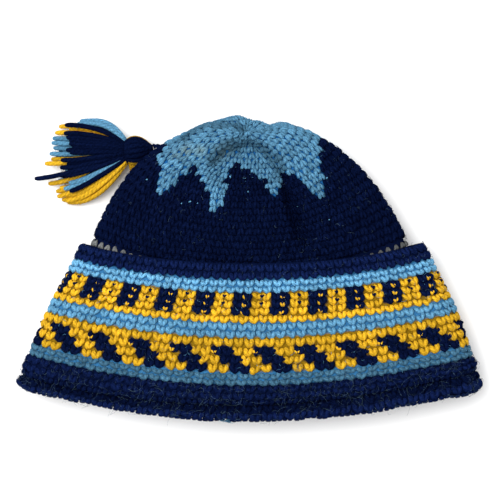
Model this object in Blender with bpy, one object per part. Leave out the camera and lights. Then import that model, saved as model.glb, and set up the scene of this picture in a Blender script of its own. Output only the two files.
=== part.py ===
"""A crocheted beanie with a turned-up cuff and a yarn tassel, lying flat on its back.

Units are metres. X runs across the hat, +Y towards its top and +Z up from the surface it
lies on. The origin is on that surface, under the middle of the hat.
"""

import bpy
import numpy as np

for old in list(bpy.data.objects):
    bpy.data.objects.remove(old)

# Main sizes
HAT_WIDTH = 0.300  # across the hem, lying flat
HAT_LENGTH = 0.196  # hem to the top of the crown
CROWN_WIDTH = 0.203  # where the crown goes into the cuff
LOFT = 0.046  # height of the front of the crown above the table
WALL = 0.0045  # thickness of the crocheted fabric
SEAT = 0.0003  # air between two pieces that touch
FOLD = 0.013  # rounding of the fabric where it folds over at the sides

# Hem roll of the cuff
ROLL_LENGTH = 0.0092
ROLL_SWELL = 0.0008
ROLL_DEPTH = 0.0100  # through both layers of fabric
GROOVE = 0.0012  # depth of the line above the roll

# Hollow under the top of the crown, and the fold that runs down from it. Places are
# shares of half the crown's width and of half the length, from the middle of the hat.
DENT_DEPTH = 0.0155
DENT_RADIUS = 0.0275
DENT_SHOULDER = 0.0140  # width of the slope round its rim
DENT_PLACE = (-0.020, 0.612)
DENT_FADE = (0.408, 0.775)  # fades in upwards between these heights
CREASE_DEPTH = 0.0060
CREASE_SPREAD = 0.0160
CREASE_LIP = 0.0060
CREASE_PLACE = 0.197  # across, at the height of the dent
CREASE_BEND = 0.059  # how much further across it is at its foot
CREASE_FOOT = (0.041, 0.347)
CREASE_HEAD = (0.796, 0.633)
FRONT_HEIGHTS = (0.50, 0.75)  # of the loft, between which the back turns into the front

# Lobes and notches along the top edge.
# place and spread: shares of half the crown's width. rise: share of the length.
LOBE_COLUMNS = ("place", "spread", "rise")
LOBES = (
    (-0.148, 0.108, 0.0077),
    (0.020, 0.059, -0.0168),
    (0.133, 0.059, -0.0230),
    (0.276, 0.089, 0.0051),
)
LOBE_FADE = (0.857, 0.990)  # of half the length

# Tassel
TASSEL_LENGTH = 0.072
TASSEL_WIDTH = 0.054
NECK_HEIGHT = 0.0115
NECK_SHARE = 0.26  # of the tassel's length, from the top of its head
BINDING_THICKNESS = 0.0038
MOUTH_HEIGHT = 0.004  # lowest point of the hollow between the skirt's tips
TASSEL_TURN = -8.0  # degrees that the skirt leans down from -X
LOCKS = 13
LOCK_DEPTH = 0.15  # of the skirt's radius

# The cord from the tassel's head to the crown's centre, under the crown's edge.
# across and up: shares of half the crown's width and half the length. lift: share of the
# cord's thickness above where it lies on the table.
CORD_THICKNESS = 0.0036
CORD_COLUMNS = ("across", "up", "lift")
CORD_ROUTE = (
    (-0.586, 0.816, 2.06),
    (-0.581, 0.814, 1.08),
    (-0.564, 0.813, 0.31),
    (-0.527, 0.820, 0.00),
    (-0.453, 0.853, 0.00),
    (-0.365, 0.898, 0.00),
    (-0.266, 0.932, 0.00),
    (-0.177, 0.954, 0.08),
    (-0.108, 0.962, 0.44),
    (-0.059, 0.962, 0.83),
)

# How finely the fabric is faceted
AROUND = 60
FINE = 121

# Rounds of the crown from its centre to the hem.
# at: share of the way. side_x: share of half the crown's width, with flare as a share of
# what the hem is wider than the crown. The z columns: shares of the loft. The y columns:
# shares of the length, up from the hem. bow: how far the round curves in plan. fold: share
# of the rounding at the sides.
FABRIC_COLUMNS = (
    "at", "side_x", "flare", "side_y", "side_z", "front_y", "front_z", "back_y", "back_z", "bow", "fold",
)
CROWN_ROUNDS = (
    (0.000, 0.000, 0.000, 0.955, 0.780, 0.955, 0.780, 0.955, 0.780, 0.99, 1.00),
    (0.025, 0.050, 0.000, 0.958, 0.772, 0.938, 0.800, 0.973, 0.755, 0.99, 1.00),
    (0.050, 0.100, 0.000, 0.962, 0.745, 0.922, 0.825, 0.989, 0.680, 0.98, 1.00),
    (0.075, 0.155, 0.000, 0.966, 0.690, 0.906, 0.850, 0.997, 0.560, 0.95, 1.00),
    (0.100, 0.215, 0.000, 0.967, 0.625, 0.890, 0.875, 0.998, 0.420, 0.92, 1.00),
    (0.130, 0.290, 0.000, 0.962, 0.570, 0.868, 0.900, 0.990, 0.270, 0.88, 1.00),
    (0.160, 0.365, 0.000, 0.951, 0.530, 0.845, 0.920, 0.970, 0.130, 0.82, 1.00),
    (0.200, 0.455, 0.000, 0.930, 0.490, 0.815, 0.945, 0.930, 0.020, 0.74, 1.00),
    (0.250, 0.560, 0.000, 0.895, 0.460, 0.775, 0.965, 0.880, 0.000, 0.65, 1.00),
    (0.310, 0.675, 0.000, 0.845, 0.435, 0.725, 0.985, 0.820, 0.000, 0.56, 1.00),
    (0.380, 0.790, 0.000, 0.780, 0.420, 0.660, 1.000, 0.745, 0.000, 0.48, 1.00),
    (0.450, 0.885, 0.000, 0.705, 0.415, 0.590, 0.995, 0.665, 0.000, 0.42, 1.00),
    (0.520, 0.955, 0.000, 0.630, 0.415, 0.525, 0.955, 0.585, 0.010, 0.36, 0.95),
    (0.560, 0.980, 0.000, 0.590, 0.415, 0.490, 0.912, 0.545, 0.070, 0.33, 0.90),
    (0.600, 1.000, 0.021, 0.548, 0.415, 0.450, 0.880, 0.500, 0.116, 0.31, 0.82),
    (0.700, 1.000, 0.241, 0.438, 0.415, 0.345, 0.830, 0.380, 0.117, 0.30, 0.72),
    (0.850, 1.000, 0.513, 0.295, 0.400, 0.200, 0.760, 0.215, 0.117, 0.30, 0.68),
    (1.000, 1.000, 0.783, 0.160, 0.385, 0.048, 0.692, 0.050, 0.117, 0.30, 0.68),
)

# Rounds of the cuff from its free edge to the hem, in the same shares.
CUFF_ROUNDS = (
    (0.00, 1.000, 0.233, 0.574, 0.420, 0.515, 1.035, 0.515, 0.000, 0.22, 1.10),
    (0.25, 1.000, 0.425, 0.455, 0.418, 0.385, 1.005, 0.385, 0.000, 0.25, 1.10),
    (0.50, 1.000, 0.623, 0.340, 0.415, 0.255, 0.955, 0.255, 0.000, 0.28, 1.10),
    (0.75, 1.000, 0.814, 0.222, 0.400, 0.125, 0.890, 0.125, 0.000, 0.29, 1.10),
    (1.00, 1.000, 1.000, 0.112, 0.370, 0.000, 0.825, 0.000, 0.000, 0.30, 1.10),
)

# Tassel from the top of its head to the tips of its skirt.
# at: share of the tassel's length from the head. wide and deep: shares of its width.
TASSEL_COLUMNS = ("at", "wide", "deep", "lobes")
TASSEL_SECTIONS = (
    (0.005, 0.050, 0.050, 0.0),
    (0.022, 0.105, 0.105, 0.0),
    (0.070, 0.165, 0.165, 0.0),
    (0.140, 0.190, 0.190, 0.0),
    (0.190, 0.180, 0.180, 0.0),
    (0.225, 0.140, 0.130, 0.0),
    (0.260, 0.115, 0.110, 0.0),
    (0.295, 0.145, 0.130, 0.0),
    (0.340, 0.240, 0.165, 0.4),
    (0.430, 0.330, 0.180, 0.8),
    (0.550, 0.390, 0.180, 1.0),
    (0.700, 0.425, 0.170, 1.0),
    (0.840, 0.440, 0.150, 1.0),
    (0.920, 0.440, 0.130, 1.0),
)

COLOURS = {
    "navy_yarn": (0.010, 0.018, 0.058, 1.0),
    "light_blue_yarn": (0.080, 0.250, 0.440, 1.0),
}


def through(table, at):
    """Each column of the table, read smoothly at these shares."""
    table = np.array(table)
    known = table[:, 0]
    slopes = np.gradient(table, known, axis=0)
    spot = np.clip(np.searchsorted(known, at, side="right") - 1, 0, len(known) - 2)
    step = (known[spot + 1] - known[spot])[:, None]
    part = (at - known[spot])[:, None] / step
    before, after = table[spot], table[spot + 1]
    rise = (2 * part**3 - 3 * part**2 + 1) * before
    rise += (part**3 - 2 * part**2 + part) * slopes[spot] * step
    rise += (3 * part**2 - 2 * part**3) * after
    rise += (part**3 - part**2) * slopes[spot + 1] * step
    return rise


def soft_step(value):
    value = np.clip(value, 0.0, 1.0)
    return value * value * (3 - 2 * value)


def between(value, start, end):
    """From 0 at the start to 1 at the end, smoothly."""
    return soft_step((value - start) / (end - start))


def half_round(side, middle, bow, fold):
    """One half of a round, from the left fold over the middle to the right fold."""
    across = np.sin(np.linspace(-np.pi / 2, np.pi / 2, FINE))
    sag = (1 - np.sqrt(1 - (bow * across) ** 2)) / (1 - np.sqrt(1 - bow**2))
    edge = fold / max(side[0], fold)
    beyond = np.clip((np.abs(across) - (1 - edge)) / edge, 0.0, 1.0)
    rounded = np.sqrt(1 - beyond**2)
    height = middle[1] - side[2]
    share = fold / max(height, fold)
    domed = np.maximum(1 - across**2, 0.0) ** 1.2
    x = side[0] * across
    y = middle[0] + (side[1] - middle[0]) * sag
    z = side[2] + height * (share * rounded + (1 - share) * domed)
    return np.stack([x, y, z], axis=1)


def spread(points, count):
    """The closed line through the points, as this many points at equal steps."""
    line = np.vstack([points, points[:1]])
    run = np.concatenate([[0.0], np.cumsum(np.linalg.norm(np.diff(line, axis=0), axis=1))])
    at = np.linspace(0.0, run[-1], count, endpoint=False)
    return np.stack([np.interp(at, run, line[:, k]) for k in range(3)], axis=1)


def fabric(table, shares):
    """Rings of points on the outside of the fabric, one for each share, left fold first."""
    rings = []
    for row in through(table, np.array(shares)):
        _, side_x, flare, side_y, side_z, front_y, front_z, back_y, back_z, bow, fold = row
        reach = (side_x * CROWN_WIDTH + flare * (HAT_WIDTH - CROWN_WIDTH)) / 2
        side = (reach, (side_y - 0.5) * HAT_LENGTH, side_z * LOFT)
        front = ((front_y - 0.5) * HAT_LENGTH, front_z * LOFT)
        back = ((back_y - 0.5) * HAT_LENGTH, back_z * LOFT)
        over = half_round(side, front, bow, fold * FOLD)
        under = half_round(side, back, bow, fold * FOLD)[::-1]
        rings.append(spread(np.vstack([over[:-1], under[:-1]]), AROUND))
    rings = np.array(rings)
    rings[..., 2] = np.maximum(rings[..., 2], 0.0)
    return rings


def dented(points):
    """The points moved by the hollow, the fold below it and the lobes along the top."""
    half_width, half_length = CROWN_WIDTH / 2, HAT_LENGTH / 2
    x, y, z = points[..., 0], points[..., 1], points[..., 2]
    across, up = x / half_width, y / half_length
    front = between(z / LOFT, *FRONT_HEIGHTS)
    ring = np.hypot(x - DENT_PLACE[0] * half_width, y - DENT_PLACE[1] * half_length)
    hollow = soft_step((DENT_RADIUS - ring) / DENT_SHOULDER) * between(up, *DENT_FADE)
    below = np.clip((DENT_PLACE[1] - up) / (DENT_PLACE[1] / 2), 0.0, 2.0)
    right = x - (CREASE_PLACE + CREASE_BEND * below**1.5) * half_width
    crease = soft_step(right / CREASE_LIP + 0.5) * np.exp(-np.maximum(right, 0.0) / CREASE_SPREAD)
    crease = crease * between(up, *CREASE_FOOT) * between(up, *CREASE_HEAD)
    drop = front * (DENT_DEPTH * hollow + CREASE_DEPTH * crease)
    lobes = sum(rise * np.exp(-(((across - place) / spread) ** 2)) for place, spread, rise in LOBES)
    raised = np.clip((up - LOBE_FADE[0]) / (LOBE_FADE[1] - LOBE_FADE[0]), 0.0, 1.0)
    return np.stack([x, y + lobes * raised * HAT_LENGTH, z - drop], axis=-1)


def outward(rings):
    """Unit normals of a tube of rings that starts at the crown's centre or at an edge."""
    along = np.gradient(rings, axis=0)
    around = np.roll(rings, -1, axis=1) - np.roll(rings, 1, axis=1)
    normal = np.cross(along, around)
    length = np.linalg.norm(normal, axis=2, keepdims=True)
    return normal / np.maximum(length, 1e-12)


def skin(rings):
    """Quads between neighbouring rings."""
    count, around = len(rings), len(rings[0])
    faces = []
    for r in range(count - 1):
        for k in range(around):
            after = (k + 1) % around
            near, far = r * around, (r + 1) * around
            faces.append((near + k, near + after, far + after, far + k))
    return faces


def add_piece(name, points, faces, slot):
    mesh = bpy.data.meshes.new(name)
    mesh.from_pydata([tuple(p) for p in points], [], faces)
    mesh.validate()
    mesh.update()
    piece = bpy.data.objects.new(name, mesh)
    collection.objects.link(piece)
    piece.data.materials.append(materials[slot])
    return piece


def facing_out(piece):
    """Turns the faces outwards by the sign of the volume they close."""
    mesh = piece.data
    mesh.calc_loop_triangles()
    corners = np.array([[mesh.vertices[v].co[:] for v in t.vertices] for t in mesh.loop_triangles])
    if np.linalg.det(corners).sum() < 0:
        mesh.flip_normals()
    return piece


def closed_tube(rings, first, last):
    """Points and faces of rings that end in a point at each end."""
    around = len(rings[0])
    points = np.vstack([np.concatenate(rings), [first], [last]])
    faces = skin(rings)
    start, end = len(points) - 2, len(points) - 1
    base = (len(rings) - 1) * around
    for k in range(around):
        after = (k + 1) % around
        faces.append((start, after, k))
        faces.append((end, base + k, base + after))
    return points, faces


def make_crown():
    shares = np.concatenate([np.linspace(0.025, 0.56, 23), np.linspace(0.60, 1.0, 6)])
    outer = dented(fabric(CROWN_ROUNDS, shares))
    centre = dented(fabric(CROWN_ROUNDS, [0.0001]))[0].mean(axis=0)
    normals = outward(outer)
    normals[:8] = (normals[:8] + np.roll(normals[:8], 1, axis=1) + np.roll(normals[:8], -1, axis=1)) / 3
    inner = outer - WALL * normals
    crown_up = normals[0].mean(axis=0)
    inside = centre - WALL * crown_up / np.linalg.norm(crown_up)
    rings = np.concatenate([outer, inner[::-1]])
    points, faces = closed_tube(rings, centre, inside)
    return facing_out(add_piece("crown", points, faces, "navy_yarn"))


def make_cuff():
    """The turned-up band, with the roll of its hem under the crown's lower edge."""
    surface = fabric(CUFF_ROUNDS, np.linspace(0.0, 1.0, 13))
    normals = outward(surface)
    length = CUFF_ROUNDS[0][5] * HAT_LENGTH
    roll = 1 - ROLL_LENGTH / length

    def ring(share, inward):
        at = share * (len(surface) - 1)
        low = min(int(at), len(surface) - 2)
        part = at - low
        spot = surface[low] * (1 - part) + surface[low + 1] * part
        facing = normals[low] * (1 - part) + normals[low + 1] * part
        facing = facing / np.linalg.norm(facing, axis=1, keepdims=True)
        moved = spot - inward * facing
        moved[:, 2] = np.maximum(moved[:, 2], 0.0)
        return moved

    section = [(0.012, 0.04 * WALL), (0.04, 0.0), (0.14, 0.0), (0.27, 0.0), (0.40, 0.0)]
    section += [(0.53, 0.0), (0.66, 0.0), (0.79, 0.0), (roll - 0.02, 0.0)]
    section += [(roll, GROOVE), (roll + 0.02, -0.6 * ROLL_SWELL)]
    section += [(0.965, -ROLL_SWELL), (0.988, 0.12 * ROLL_DEPTH), (1.0, 0.45 * ROLL_DEPTH)]
    section += [(0.990, 0.5 * (WALL + ROLL_DEPTH)), (0.965, ROLL_DEPTH)]
    section += [(roll + 0.014, 0.9 * ROLL_DEPTH), (roll + 0.010, WALL)]
    section += [(0.75, WALL), (0.5, WALL), (0.25, WALL), (0.04, WALL)]
    section += [(0.008, 0.75 * WALL), (0.0, 0.4 * WALL)]
    rings = np.array([ring(share, inward) for share, inward in section])
    count, around = len(rings), len(rings[0])
    faces = skin(rings)
    for k in range(around):
        after = (k + 1) % around
        faces.append(((count - 1) * around + k, (count - 1) * around + after, after, k))
    return facing_out(add_piece("cuff", np.concatenate(rings), faces, "navy_yarn"))


def cord_route():
    """The middle of the cord, from the tassel's head to the crown's centre."""
    route = []
    for across, up, lift in CORD_ROUTE:
        height = CORD_THICKNESS * (0.5 + lift) + SEAT
        route.append((across * CROWN_WIDTH / 2, up * HAT_LENGTH / 2, height))
    return np.array(route)


def tassel_frame():
    """The middle of the neck, the way the skirt points, and the way across it.

    The head meets the start of its cord.
    """
    lean = np.radians(TASSEL_TURN)
    along = np.array([-np.cos(lean), np.sin(lean), 0.0])
    side = np.array([-np.sin(lean), -np.cos(lean), 0.0])
    reach = NECK_SHARE * TASSEL_LENGTH + CORD_THICKNESS / 2 + SEAT
    neck = cord_route()[0] + reach * along
    neck[2] = NECK_HEIGHT
    return neck, along, side


def make_tassel():
    """The head, the neck and the skirt, whose locks swell and end at their own lengths."""
    neck, along, side = tassel_frame()
    around = 4 * LOCKS
    turn = np.linspace(0, 2 * np.pi, around, endpoint=False)
    wave = np.cos(LOCKS * turn)
    lock = np.floor(LOCKS * turn / (2 * np.pi) + 0.5) % LOCKS
    reach = 0.90 + 0.07 * np.cos(2.4 * lock) + 0.03 * np.cos(5.1 * lock) + 0.05 * wave
    reach = reach + 0.06 * np.exp(-(((turn - 2.5) / 0.35) ** 2))
    rings = []
    for at, wide, deep, lobes in TASSEL_SECTIONS:
        swell = 1 + LOCK_DEPTH * lobes * wave
        run = (at - NECK_SHARE) * TASSEL_LENGTH
        skirt = np.clip((at - 0.6) / 0.32, 0.0, 1.0)
        run = run + skirt * (reach - 0.92) * TASSEL_LENGTH
        sink = 0.10 * neck[2] * np.clip((at - 0.34) / 0.5, 0.0, 1.0)
        y = wide * TASSEL_WIDTH * np.cos(turn) * swell
        z = deep * TASSEL_WIDTH * np.sin(turn) * swell - sink
        ring = neck + run[:, None] * along + y[:, None] * side + z[:, None] * np.array([0, 0, 1.0])
        ring[:, 2] = np.maximum(ring[:, 2], SEAT)
        rings.append(ring)
    hollow = neck + 0.50 * TASSEL_LENGTH * along
    mouth = hollow + 0.55 * (rings[-1] - hollow) - 0.06 * TASSEL_LENGTH * along
    mouth[:, 2] = np.maximum(mouth[:, 2], MOUTH_HEIGHT)
    rings.append(mouth)
    top = neck - NECK_SHARE * TASSEL_LENGTH * along
    points, faces = closed_tube(np.array(rings), top, hollow)
    return facing_out(add_piece("tassel", points, faces, "navy_yarn"))


def tube(route, radius, closed_about=None, sides=10):
    """Rings of a round tube along the route, which closes on itself where an axis is given."""
    route = np.array(route)
    if closed_about is None:
        ahead = np.gradient(route, axis=0)
        guide = np.array([0.15, 0.1, 1.0])
    else:
        ahead = np.roll(route, -1, axis=0) - np.roll(route, 1, axis=0)
        guide = closed_about
    ahead = ahead / np.linalg.norm(ahead, axis=1, keepdims=True)
    first = np.cross(ahead, guide)
    first = first / np.linalg.norm(first, axis=1, keepdims=True)
    second = np.cross(first, ahead)
    turn = np.linspace(0, 2 * np.pi, sides, endpoint=False)[:, None, None]
    rings = route + radius * (np.cos(turn) * first + np.sin(turn) * second)
    return rings.transpose(1, 0, 2)


def make_binding():
    """The ring of wound yarn that ties the neck."""
    neck, along, side = tassel_frame()
    radius = BINDING_THICKNESS / 2
    turn = np.linspace(0, 2 * np.pi, 28, endpoint=False)
    narrowest = min(TASSEL_SECTIONS[2:], key=lambda row: row[1])
    wide = narrowest[1] * TASSEL_WIDTH + radius + 2 * SEAT
    deep = narrowest[2] * TASSEL_WIDTH + radius + 2 * SEAT
    upward = np.array([0.0, 0.0, 1.0])
    route = neck + wide * np.cos(turn)[:, None] * side + deep * np.sin(turn)[:, None] * upward
    rings = tube(route, radius, along)
    faces = skin(np.vstack([rings, rings[:1]]))
    total = len(rings) * len(rings[0])
    faces = [tuple(v % total for v in face) for face in faces]
    return facing_out(add_piece("tassel_binding", np.concatenate(rings), faces, "navy_yarn"))


def make_cord():
    """The cord that ties the tassel's head to the crown, lying under the crown's edge."""
    route = cord_route()
    points, faces = closed_tube(tube(route, CORD_THICKNESS / 2), route[0], route[-1])
    return facing_out(add_piece("tassel_cord", points, faces, "navy_yarn"))


collection = bpy.data.collections.new("crocheted_beanie")
bpy.context.scene.collection.children.link(collection)

materials = {}
for slot, colour in COLOURS.items():
    material = bpy.data.materials.new(slot)
    material.use_nodes = True
    shader = material.node_tree.nodes["Principled BSDF"]
    shader.inputs["Base Color"].default_value = colour
    shader.inputs["Roughness"].default_value = 0.95
    materials[slot] = material

make_crown()
make_cuff()
make_tassel()
make_binding()
make_cord()
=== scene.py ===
import bpy
import numpy as np
from bpy.props import FloatProperty, FloatVectorProperty, IntProperty, PointerProperty
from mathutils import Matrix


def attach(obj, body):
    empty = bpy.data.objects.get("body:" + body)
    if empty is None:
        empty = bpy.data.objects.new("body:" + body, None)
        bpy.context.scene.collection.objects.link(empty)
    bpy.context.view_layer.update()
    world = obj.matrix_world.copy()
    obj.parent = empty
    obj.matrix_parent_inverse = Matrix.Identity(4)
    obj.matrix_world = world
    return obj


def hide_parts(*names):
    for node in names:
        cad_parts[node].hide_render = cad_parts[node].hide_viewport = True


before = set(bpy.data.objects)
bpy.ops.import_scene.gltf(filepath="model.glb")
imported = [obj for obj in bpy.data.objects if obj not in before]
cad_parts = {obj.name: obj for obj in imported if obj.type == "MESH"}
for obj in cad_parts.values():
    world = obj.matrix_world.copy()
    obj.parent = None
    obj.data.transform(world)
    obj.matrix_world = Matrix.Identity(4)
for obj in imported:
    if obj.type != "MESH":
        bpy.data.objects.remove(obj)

bl_info = {
    "name": "Crocheted Beanie",
    "version": (1, 0, 0),
    "blender": (4, 5, 0),
    "location": "3D View > Sidebar > Beanie",
    "description": "Builds a crocheted beanie with a turned-up cuff and a tassel, stitch by stitch",
    "category": "Object",
}

# Sizes shared with the solid model, in metres
HAT_WIDTH = 0.300
HAT_LENGTH = 0.196
CROWN_WIDTH = 0.203
LOFT = 0.046
WALL = 0.0045
FOLD = 0.013
DOME_POWER = 1.2  # how the wall domes between its folded sides
FINE = 401  # points of half a round, before it is cut into even steps
ROLL_SWELL = 0.0010

# Hollow under the top of the crown, and the fold that runs down from it. Places are
# shares of half the crown's width and of half the length, from the middle of the hat.
DENT_DEPTH = 0.0155
DENT_RADIUS = 0.0275
DENT_SHOULDER = 0.0140  # width of the slope round its rim
DENT_PLACE = (-0.020, 0.612)
DENT_FADE = (0.408, 0.775)  # fades in upwards between these heights
CREASE_DEPTH = 0.0060
CREASE_SPREAD = 0.0160
CREASE_LIP = 0.0060
CREASE_PLACE = 0.197  # across, at the height of the dent
CREASE_BEND = 0.059  # how much further across it is at its foot
CREASE_FOOT = (0.041, 0.347)
CREASE_HEAD = (0.796, 0.633)
FRONT_HEIGHTS = (0.50, 0.75)  # of the loft, between which the back turns into the front
CREASE_HEIGHTS = (0.25, 0.50)  # of the loft, between which the fine creases fade in

# Lobes and notches along the top edge: place and spread as shares of half the crown's
# width, and rise as a share of the length.
# Columns: place, spread, rise
LOBES = (
    (-0.295, 0.090, 0.0170),
    (-0.130, 0.100, 0.0030),
    (0.020, 0.059, -0.0168),
    (0.133, 0.059, -0.0230),
    (0.276, 0.089, 0.0051),
)
LOBE_FADE = (0.857, 0.990)  # of half the length

# Rounds of the crown from its centre to the hem.
# at: share of the way. side_x: share of half the crown's width, with flare as a share of
# what the hem is wider than the crown. The z columns: shares of the loft. The y columns:
# shares of the length, up from the hem. bow: how far the round curves in plan. fold: share
# of the rounding at the sides.
# Columns: at, side_x, flare, side_y, side_z, front_y, front_z, back_y, back_z, bow, fold
CROWN_ROUNDS = (
    (0.000, 0.000, 0.000, 0.955, 0.780, 0.955, 0.780, 0.955, 0.780, 0.99, 1.00),
    (0.025, 0.050, 0.000, 0.958, 0.772, 0.938, 0.800, 0.973, 0.755, 0.99, 1.00),
    (0.050, 0.100, 0.000, 0.962, 0.745, 0.922, 0.825, 0.989, 0.680, 0.98, 1.00),
    (0.075, 0.155, 0.000, 0.966, 0.690, 0.906, 0.850, 0.997, 0.560, 0.95, 1.00),
    (0.100, 0.215, 0.000, 0.967, 0.625, 0.890, 0.875, 0.998, 0.420, 0.92, 1.00),
    (0.130, 0.290, 0.000, 0.962, 0.570, 0.868, 0.900, 0.990, 0.270, 0.88, 1.00),
    (0.160, 0.365, 0.000, 0.951, 0.530, 0.845, 0.920, 0.970, 0.130, 0.82, 1.00),
    (0.200, 0.455, 0.000, 0.930, 0.490, 0.815, 0.945, 0.930, 0.020, 0.74, 1.00),
    (0.250, 0.560, 0.000, 0.895, 0.460, 0.775, 0.965, 0.880, 0.000, 0.65, 1.00),
    (0.310, 0.675, 0.000, 0.845, 0.435, 0.725, 0.985, 0.820, 0.000, 0.56, 1.00),
    (0.380, 0.790, 0.000, 0.780, 0.420, 0.660, 1.000, 0.745, 0.000, 0.48, 1.00),
    (0.450, 0.885, 0.000, 0.705, 0.415, 0.590, 0.995, 0.665, 0.000, 0.42, 1.00),
    (0.520, 0.955, 0.000, 0.630, 0.415, 0.525, 0.955, 0.585, 0.010, 0.36, 0.95),
    (0.560, 0.980, 0.000, 0.590, 0.415, 0.490, 0.912, 0.545, 0.070, 0.33, 0.90),
    (0.600, 1.000, 0.021, 0.548, 0.415, 0.450, 0.880, 0.500, 0.116, 0.31, 0.82),
    (0.700, 1.000, 0.241, 0.438, 0.415, 0.345, 0.830, 0.380, 0.117, 0.30, 0.72),
    (0.850, 1.000, 0.513, 0.295, 0.400, 0.200, 0.760, 0.215, 0.117, 0.30, 0.68),
    (1.000, 1.000, 0.783, 0.160, 0.385, 0.048, 0.692, 0.050, 0.117, 0.30, 0.68),
)

# Rounds of the cuff from its free edge to the hem, in the same columns
CUFF_ROUNDS = (
    (0.00, 1.000, 0.233, 0.574, 0.420, 0.515, 1.035, 0.515, 0.000, 0.22, 1.10),
    (0.25, 1.000, 0.425, 0.455, 0.418, 0.385, 1.005, 0.385, 0.000, 0.25, 1.10),
    (0.50, 1.000, 0.623, 0.340, 0.415, 0.255, 0.955, 0.255, 0.000, 0.28, 1.10),
    (0.75, 1.000, 0.814, 0.222, 0.400, 0.125, 0.890, 0.125, 0.000, 0.29, 1.10),
    (1.00, 1.000, 1.000, 0.112, 0.370, 0.000, 0.825, 0.000, 0.000, 0.30, 1.10),
)

# How far the folded sides lie to the right of the plain rounds, in metres.
# Columns: share, left, right
CUFF_SIDES = (
    (0.00, 0.0052, -0.0010), (0.06, 0.0042, 0.0008), (0.25, 0.0024, 0.0032),
    (0.50, 0.0000, 0.0044), (0.75, -0.0003, 0.0038), (1.00, 0.0000, 0.0014),
)
CROWN_SIDES = (
    (0.00, 0.0000, 0.0000), (0.18, 0.0000, 0.0000), (0.28, -0.0022, 0.0000),
    (0.38, -0.0012, 0.0000), (0.50, -0.0008, 0.0012), (0.60, -0.0014, 0.0032),
    (1.00, 0.0000, 0.0000),
)
CORNER_RISE = 0.0018  # how far the cuff's top corners stand up
RIGHT_DROP = 0.0032  # how far the hem's right end hangs down

# Fine creases of the crown, in metres: how deep, how wide, how much painted shade darkens them, and where
# each runs.
# Columns: depth, half_width, dark, points
CREASES = (
    (0.0060, 0.0032, 1.00, (
        (-0.0229, 0.0690), (-0.0145, 0.0774), (0.0003, 0.0806),
        (0.0113, 0.0761), (0.0177, 0.0690), (0.0197, 0.0632),
    )),
    (0.0026, 0.0044, 0.80, (
        (0.0225, 0.0600), (0.0250, 0.0442), (0.0290, 0.0355), (0.0355, 0.0174),
    )),
    (0.0070, 0.0026, 1.00, (
        (-0.0410, 0.0832), (-0.0358, 0.0880), (-0.0313, 0.0903),
        (-0.0229, 0.0916), (-0.0126, 0.0922), (-0.0035, 0.0890),
    )),
)
# Painted shade: how much the stitches in the hollow itself are darkened
DENT_PAINTED_SHADE = 0.25  # how dark the hollow itself is, where the creases reach 1

# The surfaces that carry the stitches
AROUND = 480  # points round each ring
CROWN_RINGS = 240  # before they are set at even steps
CROWN_FINE = 8  # rings to each round of stitches
CUFF_RINGS = 160
CUFF_FINE = 6
UNEVEN = 0.0006  # height of the slow unevenness, in metres
WANDER_PITCH = 110  # how quickly it changes, in radians to a metre
WANDER_WAVES = 6
LYING_FLAT = 0.003  # below this height the crown has none of it
HEM_WARP_IN = (16.0, 19.0)  # rounds of the cuff between which the groove's bend fades in
HEM_WARP_OUT = (21.4, 19.2)  # the same, upwards from the hem
HEM_WARP = (0.012, 0.030)  # how far up at the middle, and how much further at the right
HEM_WAVE = 0.0011  # height of the waves of the hem, in metres
HEM_WAVE_SHARES = (0.80, 1.00)

# Stitch rounds of the crown that show, and the share of the way that they take
CROWN_ROWS = 25
CROWN_SHOWN = 0.575
CROWN_HEIGHT = 1.16  # of a stitch, as a share of a round
STITCHES = 80
CROWN_STITCH = 0.0046  # width of a stitch in metres, which sets how many the first rounds have
FIRST_STITCHES = 6
CROWN_SLANT = 0.30  # how many stitches each full round lies to the left of the one above
GREY_SIZE = 0.80
GREY_DROP = (0.25, 0.42)  # how far the grey round is lowered, up to GREY_TURN and beyond
GREY_TURN = 0.35
# Painted light and shade on the grey round: its left half lighter and its right half darker
GREY_PAINTED_LIGHT = 1.5  # steps lighter on the left half, and darker on the right half
INSIDE_RIBS = 16
RIB_HEIGHT = 0.0005
KNOB_HEIGHT = 0.0003  # of the stitches along each rib

# The star's corners on the front, in metres, anticlockwise from the left of the top edge.
# Columns: x, y
STAR_CORNERS = (
    (-0.0539, 0.0780), (-0.0577, 0.0709), (-0.0590, 0.0473), (-0.0564, 0.0461),
    (-0.0335, 0.0646), (-0.0271, 0.0518), (-0.0220, 0.0352), (-0.0194, 0.0346),
    (-0.0156, 0.0499), (-0.0105, 0.0665), (0.0010, 0.0639), (0.0118, 0.0537),
    (0.0169, 0.0448), (0.0201, 0.0448), (0.0201, 0.0595), (0.0252, 0.0614),
    (0.0342, 0.0550), (0.0450, 0.0454), (0.0495, 0.0467), (0.0469, 0.0677),
    (0.0463, 0.0792), (0.0520, 0.0945), (0.0010, 0.1073), (-0.0564, 0.0945),
)

# The star's edge on the back, from the right fold to the left: a share of the way round,
# and how many rounds of blue there are.
# Columns: turn, rounds
STAR_BACK = (
    (0.500, 9.6), (0.562, 15.4), (0.625, 9.6), (0.688, 15.4), (0.750, 9.6),
    (0.812, 15.4), (0.875, 9.6), (0.938, 15.4), (1.000, 9.8),
)

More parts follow.
